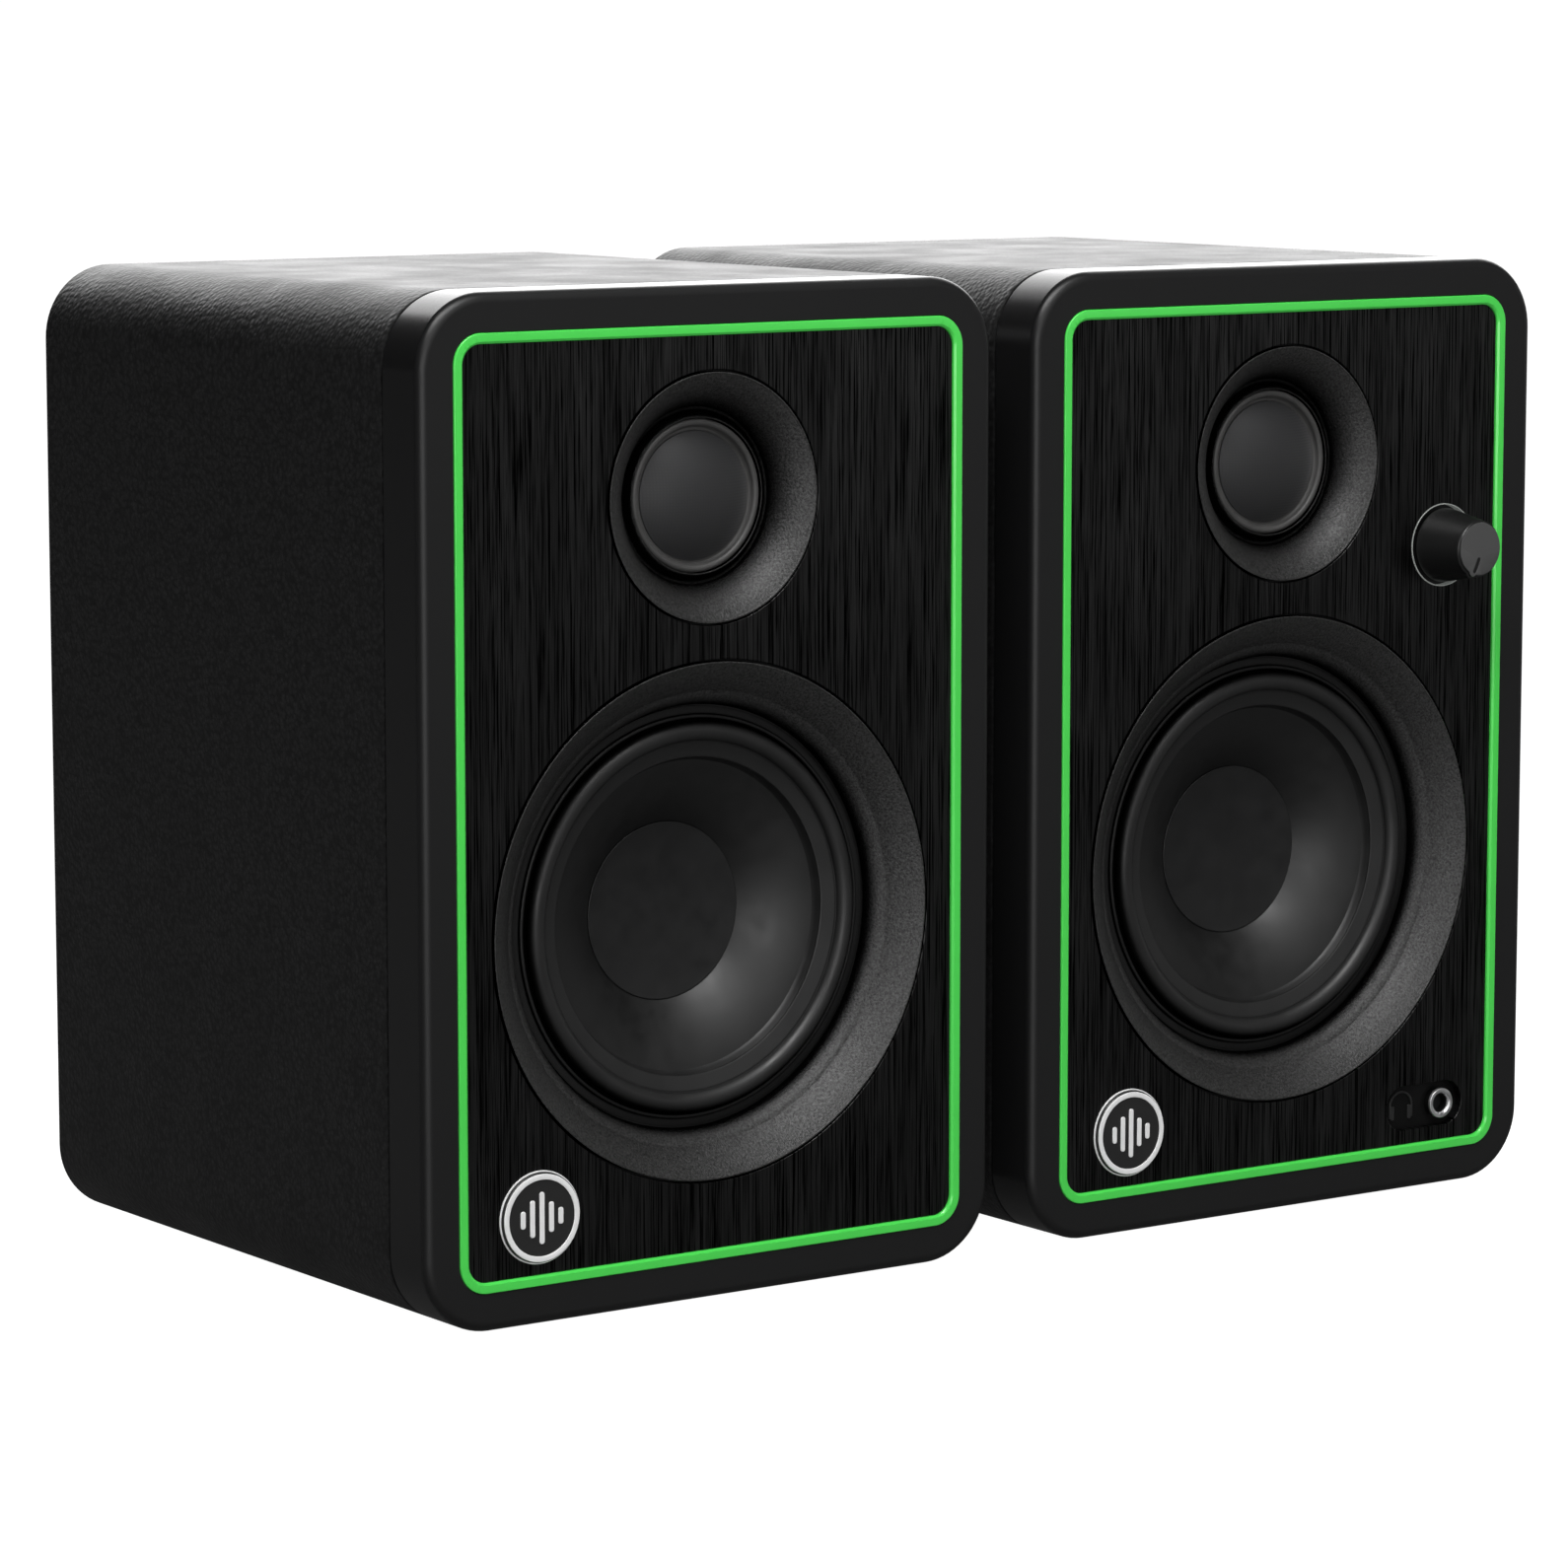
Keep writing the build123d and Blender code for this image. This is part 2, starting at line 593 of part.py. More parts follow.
# ------------------------------------------------------------------ right speaker only
def amp_screw_points():
    """Eight screws around the amplifier plate."""
    return plate_screw_points(AMP_PLATE_SIZE, AMP_PLATE_SIZE, AMP_PLATE_Z, 3)


def amp_plate():
    """Rear plate that carries the connectors, the terminals and the amplifier board."""
    face = AMP_PLATE_BACK
    outline = rounded(AMP_PLATE_SIZE, AMP_PLATE_SIZE, PLATE_RADIUS, 0, AMP_PLATE_Z)
    plate = slab(outline, PLATE_FRONT + TOUCH, face)
    plate = chamfer(plate.faces().sort_by(Axis.Y)[-1].outer_wire().edges(), 0.5)
    plate = with_clip_housing(plate, AMP_CLIP, face)
    for x in (PHONO_X, PHONO_X + PHONO_SPACING):
        plate -= disc(x, PHONO_Z, PHONO_RADIUS, PLATE_FRONT - 1, face + 1)
    plate -= box(INLET_X, PLATE_FRONT - 1, face + 1, INLET_Z, 27.2, 20.2)
    plate += box(SWITCH_X, face - 7.0, PLATE_FRONT + 1, SWITCH_Z, 17, 9)
    plate -= box(SWITCH_X, face - 5.0, face + 1, SWITCH_Z, SWITCH_TRAVEL + 6.2, 5.2)
    for x, z in amp_screw_points():
        plate -= disc(x, z, SCREW_CLEARANCE, PLATE_FRONT - 1, face + 1)
    return plate


def phono_sockets():
    """Two coaxial sockets: flange, barrel and a centre hole."""
    face = AMP_PLATE_BACK
    tip = face + 1.0 + PHONO_LENGTH
    edges = chain(
        (PHONO_PIN_HOLE, tip),
        (PHONO_RADIUS - 0.4, tip),
        (PHONO_RADIUS, tip - 0.4),
        (PHONO_RADIUS, face + 1.0),
        (6.0, face + 1.0),
        (6.0, face + TOUCH),
        (PHONO_RADIUS - FIT, face + TOUCH),
        (PHONO_RADIUS - FIT, face - 9.0),
        (0, face - 9.0),
        (0, face - 5.0),
        (PHONO_CONTACT_HOLE, face - 5.0),
        (PHONO_CONTACT_HOLE, face + 0.2),
        (PHONO_PIN_HOLE, face + 0.2),
        (PHONO_PIN_HOLE, tip),
    )
    pair = [turned(edges, x, PHONO_Z).solid() for x in (PHONO_X, PHONO_X + PHONO_SPACING)]
    return Compound(pair)


def power_inlet():
    """Three-pin mains inlet with its flange on the plate."""
    face = AMP_PLATE_BACK
    shell = slab(rounded(31, 24, 3, INLET_X, INLET_Z), face + TOUCH, face + 2.2)
    shell += box(INLET_X, face - 22, face + 1, INLET_Z, 27, 20)
    shell -= slab(rounded(24, 16.5, 2.5, INLET_X, INLET_Z), face - 16, face + 3)
    for x, z in ((-7, -2), (0, 2), (7, -2)):
        shell += box(INLET_X + x, face - 17, face - 1, INLET_Z + z, 2.0, 4.0)
    return shell


def position_switch():
    """Slider of the placement switch, at the left end of its slot."""
    x = SWITCH_X - SWITCH_TRAVEL / 2
    slider = box(x, AMP_PLATE_BACK - 4.9, AMP_PLATE_BACK - 1.4, SWITCH_Z, 6.0, 5.0)
    return slider + box(x, AMP_PLATE_BACK - 2.0, AMP_PLATE_BACK + 1.6, SWITCH_Z, 3.6, 4.4)


def amplifier_board():
    """Circuit board behind the plate, with its heat sink, capacitors and standoffs."""
    back = PLATE_FRONT - 24
    top = AMP_PLATE_Z + AMP_OPENING / 2 - 3
    bottom = 54.0
    height = top - bottom
    middle = (top + bottom) / 2
    board = box(0, back - 1.6, back, middle, 88, height)
    for x in (-40.0, 40.0):
        for z in (bottom + 4, top - 4):
            board += disc(x, z, 3, back - 0.5, PLATE_FRONT)
    board += box(-20, back - 26, back - 1.0, middle, 30, 34)
    for step in range(4):
        board -= box(-30.5 + 7 * step, back - 27, back - 8, middle, 3.4, 36)
    for x, z in ((12, 8), (12, -12), (30, 8), (30, -12)):
        board += disc(x, middle + z, 7, back - 26, back - 1.0)
    return board


def transformer():
    """Mains transformer standing on the cabinet floor."""
    base_z = WALL + TOUCH
    core = Pos(18, 86, base_z + 22) * Box(52, 24, 44)
    winding = Pos(18, 86, base_z + 22) * Box(34, 40, 28)
    winding = fillet(winding.edges().filter_by(Axis.Z), 6)
    return core + winding


def knob_ring():
    """Thin light ring let into the panel around the knob."""
    ring = disc(KNOB_X, KNOB_Z, KNOB_RING_RADIUS, PANEL_FRONT - 0.3, PANEL_BACK)
    return ring - disc(KNOB_X, KNOB_Z, KNOB_RING_RADIUS - 0.55, PANEL_FRONT - 2, PANEL_BACK + 1)


def volume_knob():
    """Tapered knob with a bore for the shaft, a pointer nose and a pointer groove on its face."""
    face = KNOB_FACE_Y
    hub = 4.6
    bore = POT_SHAFT_RADIUS + TOUCH
    edges = chain(
        (0, face),
        (KNOB_FACE_RADIUS - 0.15, face),
        (KNOB_FACE_RADIUS + 0.25, face + 0.5),
        (KNOB_BASE_RADIUS, 0.2),
        (KNOB_BASE_RADIUS - 1.4, 0.2),
        (KNOB_FACE_RADIUS - 0.6, face + 3.0),
        (hub, face + 3.0),
        (hub, -1.0),
        (bore, -1.0),
        (bore, face + 3.4),
        (0, face + 3.4),
        (0, face),
    )
    knob = turned(edges)
    nose = (-2.1, -5.25)
    groove_start = (-0.5, -2.4)
    groove_end = (-1.75, -5.2)
    knob += disc(*nose, 1.25, face, face + 3.0)
    length = math.dist(groove_start, groove_end)
    lean = math.degrees(math.atan2(groove_end[1] - groove_start[1], groove_end[0] - groove_start[0]))
    middle = ((groove_start[0] + groove_end[0]) / 2, (groove_start[1] + groove_end[1]) / 2)
    groove = Pos(*middle) * Rot(0, 0, lean) * RectangleRounded(length, 0.6, 0.28)
    knob -= slab(groove, face - 1, face + 0.8)
    return Pos(KNOB_X, 0, KNOB_Z) * knob


def volume_pot_shaft():
    """Control shaft pressed into the knob."""
    return disc(KNOB_X, KNOB_Z, POT_SHAFT_RADIUS, KNOB_FACE_Y + 3.45, BAFFLE_BACK + 3.0)


def volume_pot_body():
    """Body of the volume control, with its threaded bush through the baffle."""
    body = box(KNOB_X, BAFFLE_BACK + TOUCH, BAFFLE_BACK + 9.0, KNOB_Z, 16, 16)
    body += disc(KNOB_X, KNOB_Z, POT_BUSH_RADIUS, PANEL_FRONT, BAFFLE_BACK + 1)
    return body - disc(KNOB_X, KNOB_Z, POT_SHAFT_RADIUS + RUNNING, 0, BAFFLE_BACK + 3.1)


def headphone_jack():
    """Socket body behind the baffle, with its bush through to the front."""
    body = box(JACK_X, BAFFLE_BACK + TOUCH, BAFFLE_BACK + 13.0, JACK_Z, 9, 9)
    body += disc(JACK_X, JACK_Z, JACK_BUSH_RADIUS, JACK_FACE_Y + 0.6, BAFFLE_BACK + 1)
    return body - disc(JACK_X, JACK_Z, JACK_BORE_RADIUS, 0, BAFFLE_BACK + 9.0)


def jack_nut():
    """Bright ring nut on the headphone socket's bush."""
    nut = disc(JACK_X, JACK_Z, JACK_NUT_RADIUS, JACK_FACE_Y, POCKET_BACK - TOUCH)
    nut = fillet(nut.faces().sort_by(Axis.Y)[0].edges(), 0.5)
    nut -= disc(JACK_X, JACK_Z, JACK_BUSH_RADIUS + TOUCH, JACK_FACE_Y + 0.58, POCKET_BACK + 1)
    return nut - disc(JACK_X, JACK_Z, JACK_BORE_RADIUS, JACK_FACE_Y - 1, POCKET_BACK + 1)


# ------------------------------------------------------------------ lists of pieces
def shared_pieces(powered):
    """Pieces that both speakers have."""
    return {
        "front_bezel": front_bezel(powered),
        "trim_ring": trim_ring(),
        "front_panel": front_panel(powered),
        "badge": badge(),
        "woofer_flare": woofer_flare(),
        "woofer_basket": woofer_basket(),
        "woofer_surround": woofer_surround(),
        "woofer_cone": woofer_cone(),
        "woofer_dust_cap": woofer_dust_cap(),
        "woofer_voice_coil": woofer_voice_coil(),
        "woofer_spider": woofer_spider(),
        "woofer_magnet": woofer_magnet(),
        "woofer_pole_pieces": woofer_pole_pieces(),
        "tweeter_flare": tweeter_flare(),
        "tweeter_dome": tweeter_dome(),
        "tweeter_surround": tweeter_surround(),
        "tweeter_motor": tweeter_motor(),
        "port_tube": port_tube(),
        "feet": feet(),
    }


def left_pieces():
    """The passive speaker."""
    red_x, black_x = clip_centres(TERMINAL_CLIP)
    face = PLATE_FRONT + 2.0
    points = terminal_screw_points()
    pieces = shared_pieces(powered=False)
    pieces["cabinet"] = cabinet(48, 38, TERMINAL_PLATE_Z, points)
    pieces["screws"] = screws(points, face)
    pieces["terminal_plate"] = terminal_plate()
    pieces["terminal_lever_red"] = clip_lever(red_x, TERMINAL_CLIP, face)
    pieces["terminal_lever_black"] = clip_lever(black_x, TERMINAL_CLIP, face)
    pieces["crossover"] = crossover()
    return pieces


def right_pieces():
    """The powered speaker."""
    red_x, black_x = clip_centres(AMP_CLIP)
    points = amp_screw_points()
    pieces = shared_pieces(powered=True)
    pieces["cabinet"] = cabinet(AMP_OPENING, AMP_OPENING, AMP_PLATE_Z, points)
    pieces["screws"] = screws(points, AMP_PLATE_BACK)
    pieces["amp_plate"] = amp_plate()
    pieces["terminal_lever_red"] = clip_lever(red_x, AMP_CLIP, AMP_PLATE_BACK)
    pieces["terminal_lever_black"] = clip_lever(black_x, AMP_CLIP, AMP_PLATE_BACK)
    pieces["phono_sockets"] = phono_sockets()
    pieces["power_inlet"] = power_inlet()
    pieces["position_switch"] = position_switch()
    pieces["amplifier_board"] = amplifier_board()
    pieces["transformer"] = transformer()
    pieces["knob_ring"] = knob_ring()
    pieces["volume_knob"] = volume_knob()
    pieces["volume_pot_shaft"] = volume_pot_shaft()
    pieces["volume_pot_body"] = volume_pot_body()
    pieces["headphone_jack"] = headphone_jack()
    pieces["jack_nut"] = jack_nut()
    return pieces


os.makedirs("parts", exist_ok=True)
for side_name, side, side_pieces in (("left", -1, left_pieces()), ("right", 1, right_pieces())):
    for piece_name, piece in side_pieces.items():
        export_step(place(piece, side), f"parts/{side_name}_{piece_name}.step")
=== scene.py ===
"""Looks for a pair of desktop speakers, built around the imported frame.

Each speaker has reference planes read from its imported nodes: the middle of its width, the face of
its bezel and the underside of its cabinet. Sizes inside a speaker are in millimetres from those
planes: x to the right, y backwards, z up. Round pieces are outlines of (radius, depth) points
turned about a driver's axis. Flat pieces are outlines in x and z with a rim profile of
(inset, depth) points.
"""

import math

import bmesh
import bpy
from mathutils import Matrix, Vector
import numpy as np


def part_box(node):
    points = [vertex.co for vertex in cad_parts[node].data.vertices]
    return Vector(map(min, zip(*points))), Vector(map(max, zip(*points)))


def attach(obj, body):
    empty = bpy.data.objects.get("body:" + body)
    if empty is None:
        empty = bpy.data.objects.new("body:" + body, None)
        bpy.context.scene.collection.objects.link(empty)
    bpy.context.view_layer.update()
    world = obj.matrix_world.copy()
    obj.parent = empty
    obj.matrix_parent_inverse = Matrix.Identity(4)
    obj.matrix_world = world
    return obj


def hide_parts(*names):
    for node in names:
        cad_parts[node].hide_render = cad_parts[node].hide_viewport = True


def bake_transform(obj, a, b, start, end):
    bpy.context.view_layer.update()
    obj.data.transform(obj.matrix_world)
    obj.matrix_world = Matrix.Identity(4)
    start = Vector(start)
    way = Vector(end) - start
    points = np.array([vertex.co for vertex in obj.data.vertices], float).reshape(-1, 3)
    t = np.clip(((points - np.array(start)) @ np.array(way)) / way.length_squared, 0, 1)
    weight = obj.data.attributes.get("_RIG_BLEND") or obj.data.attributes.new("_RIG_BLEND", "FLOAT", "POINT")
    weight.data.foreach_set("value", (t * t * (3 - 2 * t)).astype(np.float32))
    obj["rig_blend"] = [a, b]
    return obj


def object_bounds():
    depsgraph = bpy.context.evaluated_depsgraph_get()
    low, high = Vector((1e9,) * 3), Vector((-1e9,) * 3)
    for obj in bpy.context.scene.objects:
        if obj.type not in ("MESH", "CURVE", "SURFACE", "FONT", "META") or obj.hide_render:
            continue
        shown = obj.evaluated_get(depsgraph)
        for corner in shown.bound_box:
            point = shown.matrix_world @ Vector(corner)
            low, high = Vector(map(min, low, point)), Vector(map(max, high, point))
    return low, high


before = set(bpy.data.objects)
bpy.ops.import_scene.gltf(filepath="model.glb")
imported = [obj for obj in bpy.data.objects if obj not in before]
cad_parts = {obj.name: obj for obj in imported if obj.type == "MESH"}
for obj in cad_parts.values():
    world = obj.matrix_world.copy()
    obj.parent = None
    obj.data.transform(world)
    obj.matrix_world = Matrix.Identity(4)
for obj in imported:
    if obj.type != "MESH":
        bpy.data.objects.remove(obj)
cad_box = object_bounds()

# ------------------------------------------------------------------ driving values
MM = 0.001

# Sizes in millimetres.
CORNER_RADIUS = 15.5
BEZEL_DEPTH = 13.4
BEZEL_FILLET = 2.1
PARTING_GAP = 0.7
WALL = 9.0
PORT_HOLE = 17.05
REAR_PLATE_LAP = 16.0
TRIM_RADIUS = 6.3
TRIM_WIDTH = 2.15
TRIM_FRONT = -0.3
TRIM_CLEARANCE = 0.08
PANEL_FRONT = 0.5
PANEL_BACK = 2.5
BAFFLE_LAP = 3.0
BAFFLE_BACK = 6.5
SEAM_EASE = 0.12
WRAP_EASE = 0.7
LIP_FRONT = 0.3
WOOFER_OPENING = 53.7
WOOFER_FLARE_BACK = 11.8
CONE_RIM = (32.1, 11.62)
CONE_NECK = (18.0, 20.1)
TWEETER_OPENING = 25.8
TWEETER_FLARE_BACK = 8.7
DOME_RADIUS = 13.2
PILL_LENGTH = 22.3
PILL_HEIGHT = 10.0
KNOB_FACE_RADIUS = 6.0
KNOB_NOSE = (-2.1, -5.25)
KNOB_NOSE_RADIUS = 1.25
KNOB_NOSE_START = -8.2
SOCKET_RADIUS = 1.9
ON_AXIS = 1e-6

# Steps around a full turn and a quarter corner, and angles in degrees above which an edge is sharp.
TURN_STEPS = 192
CORNER_STEPS = 16
SHARP_ANGLE = 38
KEPT_SHARP_ANGLE = 28

# Half the floor's width in metres, and the strength of the white background.
FLOOR_REACH = 6.0
WHITE_STRENGTH = 1.05


class Speaker:
    """Reference planes and places of one speaker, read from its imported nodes."""

    def __init__(self, side):
        low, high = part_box(f"{side}_front_bezel")
        self.side = side
        self.body = f"{side}_speaker"
        self.middle = (low.x + high.x) / 2
        self.front = low.y
        self.base = low.z
        self.width = (high.x - low.x) / MM
        self.height = (high.z - low.z) / MM
        self.depth = (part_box(f"{side}_cabinet")[1].y - low.y) / MM
        self.woofer = self.centre("woofer_flare")
        self.tweeter = self.centre("tweeter_flare")
        self.badge = self.centre("badge")
        self.port = self.centre("port_tube")

    def node(self, name):
        """Full name of one of this speaker's nodes."""
        return f"{self.side}_{name}"

    def at(self, x, y, z):
        """Place in the frame, in metres."""
        return Vector((self.middle + x * MM, self.front + y * MM, self.base + z * MM))

    def centre(self, name):
        """(x, z) of a node's middle, in this speaker's millimetres."""
        low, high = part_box(self.node(name))
        middle = (low + high) / 2
        return (middle.x - self.middle) / MM, (middle.z - self.base) / MM

    def radius(self, name):
        """Half of a round node's height, in millimetres."""
        low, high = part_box(self.node(name))
        return (high.z - low.z) / 2 / MM

    def size(self, name):
        """Width and height of a node, in millimetres."""
        low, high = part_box(self.node(name))
        return (high.x - low.x) / MM, (high.z - low.z) / MM


# ------------------------------------------------------------------ outlines
def arc(start, end, bow, steps=24):
    """Points of an arc whose middle stands off its chord by bow, to the chord's left."""
    chord = math.dist(start, end)
    along = ((end[0] - start[0]) / chord, (end[1] - start[1]) / chord)
    side = 1 if bow > 0 else -1
    half = 2 * math.atan(2 * abs(bow) / chord)
    radius = chord / 2 / math.sin(half)
    points = []
    for step in range(steps + 1):
        angle = half * (2 * step / steps - 1)
        run = chord / 2 + radius * math.sin(angle)
        off = side * radius * (math.cos(angle) - math.cos(half))
        x = start[0] + along[0] * run - along[1] * off
        y = start[1] + along[1] * run + along[0] * off
        points.append((x, y))
    return points


def crown(apex_y, rim, steps=28):
    """Arc from a cap's apex on the axis to its rim, square to the axis at the apex."""
    rise = rim[1] - apex_y
    radius = (rim[0] ** 2 + rise**2) / (2 * rise)
    full = math.asin(rim[0] / radius)
    angles = [full * step / steps for step in range(steps + 1)]
    return [(radius * math.sin(a), apex_y + radius * (1 - math.cos(a))) for a in angles]


def eased(*corners, steps=4):
    """Straight outline whose corners (r, y, ease) are rounded off; a bare (r, y) stays sharp."""
    points = []
    for index, corner in enumerate(corners):
        here = Vector(corner[:2])
        if len(corner) < 3 or index in (0, len(corners) - 1):
            points.append(tuple(here))
            continue
        before = (Vector(corners[index - 1][:2]) - here).normalized() * corner[2]
        after = (Vector(corners[index + 1][:2]) - here).normalized() * corner[2]
        for step in range(steps + 1):
            t = step / steps
            points.append(tuple(here + before * (1 - t) ** 2 + after * t**2))
    return points


def rounded(width, height, radius, x=0.0, z=0.0):
    """Rounded-rectangle outline as a function of an inset."""

    def outline(inset):
        half_w = width / 2 - inset
        half_h = height / 2 - inset
        corner = max(radius - inset, 0.02)
        points = []
        for quarter, (sign_x, sign_z) in enumerate(((1, 1), (-1, 1), (-1, -1), (1, -1))):
            for step in range(CORNER_STEPS + 1):
                angle = math.radians(90 * (quarter + step / CORNER_STEPS))
                points.append((
                    x + sign_x * (half_w - corner) + corner * math.cos(angle),
                    z + sign_z * (half_h - corner) + corner * math.sin(angle),
                ))
        return points

    return outline


def grown(outline, margin):
    """The same outline, larger by a margin all round."""
    return lambda inset: outline(inset - margin)


def round_outline(radius, x=0.0, z=0.0, steps=TURN_STEPS):
    """Circle as a function of an inset."""

    def outline(inset):
        angles = [math.tau * step / steps for step in range(steps)]
        return [(x + (radius - inset) * math.cos(a), z + (radius - inset) * math.sin(a)) for a in angles]

    return outline


def rim_profile(back, front, ease, steps=4):
    """Rim of a flat piece: a straight wall from back to front whose front edge is rounded."""
    way = 1 if front > back else -1
    profile = [(0, back)]
    for step in range(steps + 1):
        angle = math.radians(90 * step / steps)
        profile.append((ease * (1 - math.cos(angle)), front - way * ease * (1 - math.sin(angle))))
    return profile


# ------------------------------------------------------------------ mesh building
def bridge(bm, first, second):
    """Faces between two rings of vertices; a ring may be a single vertex on the axis."""
    if len(first) == 1 and len(second) == 1:
        return
    count = max(len(first), len(second))
    for index in range(count):
        after = (index + 1) % count
        corners = []
        for ring, order in ((first, (index, after)), (second, (after, index))):
            corners += [ring[0]] if len(ring) == 1 else [ring[i] for i in order]
        bm.faces.new(corners)


def cap(bm, rings):
    """Fill the flat area between an outer ring and the rings of its holes."""
    edges = []
    for ring in rings:
        for first, second in zip(ring, ring[1:] + ring[:1]):
            edges.append(bm.edges.get((first, second)) or bm.edges.new((first, second)))
    bmesh.ops.triangle_fill(bm, use_beauty=True, edges=edges)


def lathe(bm, speaker, axis, outline, reach=None, closed=True):
    """Turn an outline about the axis at (x, z). reach can push the radius out by angle."""
    rings = []
    for radius, depth in outline:
        if radius < ON_AXIS:
            rings.append([bm.verts.new(speaker.at(axis[0], depth, axis[1]))])
            continue
        ring = []
        for step in range(TURN_STEPS):
            angle = math.tau * step / TURN_STEPS
            out = max(radius, reach(angle, radius, depth)) if reach else radius
            x = axis[0] + out * math.cos(angle)
            z = axis[1] + out * math.sin(angle)
            ring.append(bm.verts.new(speaker.at(x, depth, z)))
        rings.append(ring)
    for first, second in zip(rings, rings[1:]):
        bridge(bm, first, second)
    if closed and len(rings[0]) > 1 and len(rings[-1]) > 1:
        bridge(bm, rings[-1], rings[0])
    return rings


def walls(bm, speaker, outline, profile, grow):
    """Rings of an outline along a rim profile, joined up; grow is -1 for a hole's edge."""
    rings = []
    for inset, depth in profile:
        rings.append([bm.verts.new(speaker.at(x, depth, z)) for x, z in outline(grow * inset)])
    for first, second in zip(rings, rings[1:]):
        bridge(bm, first, second)
    return rings[0], rings[-1]


def plate(bm, speaker, outline, profile, holes=(), hole_profile=None):
    """Closed flat piece with a shaped rim and holes."""
    ends = [walls(bm, speaker, outline, profile, 1)]
    for hole in holes:
        ends.append(walls(bm, speaker, hole, hole_profile or profile, -1))
    cap(bm, [end[0] for end in ends])
    cap(bm, [end[1] for end in ends])


def piece(bm, speaker, name, look, replaces=(), body=None, rides=True, slot=None):
    """Turn a finished bmesh into a shaded object that rides on a body and stands for CAD nodes."""
    bmesh.ops.remove_doubles(bm, verts=bm.verts, dist=1e-7)
    bmesh.ops.recalc_face_normals(bm, faces=bm.faces)
    mesh = bpy.data.meshes.new(speaker.node(name))
    bm.to_mesh(mesh)
    bm.free()
    mesh.materials.append(look)
    mesh.shade_smooth()
    mesh.set_sharp_from_angle(angle=math.radians(SHARP_ANGLE))
    thing = bpy.data.objects.new(speaker.node(name), mesh)
    bpy.context.scene.collection.objects.link(thing)
    flat = thing.modifiers.new("flat faces", "WEIGHTED_NORMAL")
    flat.keep_sharp = True
    flat.weight = 80
    if rides:
        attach(thing, body or speaker.body)
    if replaces:
        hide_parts(*[speaker.node(n) for n in replaces])
    return thing


def turned(speaker, axis, outline, *details, **options):
    """Piece turned from a closed outline about the axis at (x, z)."""
    bm = bmesh.new()
    lathe(bm, speaker, axis, outline)
    return piece(bm, speaker, *details, **options)


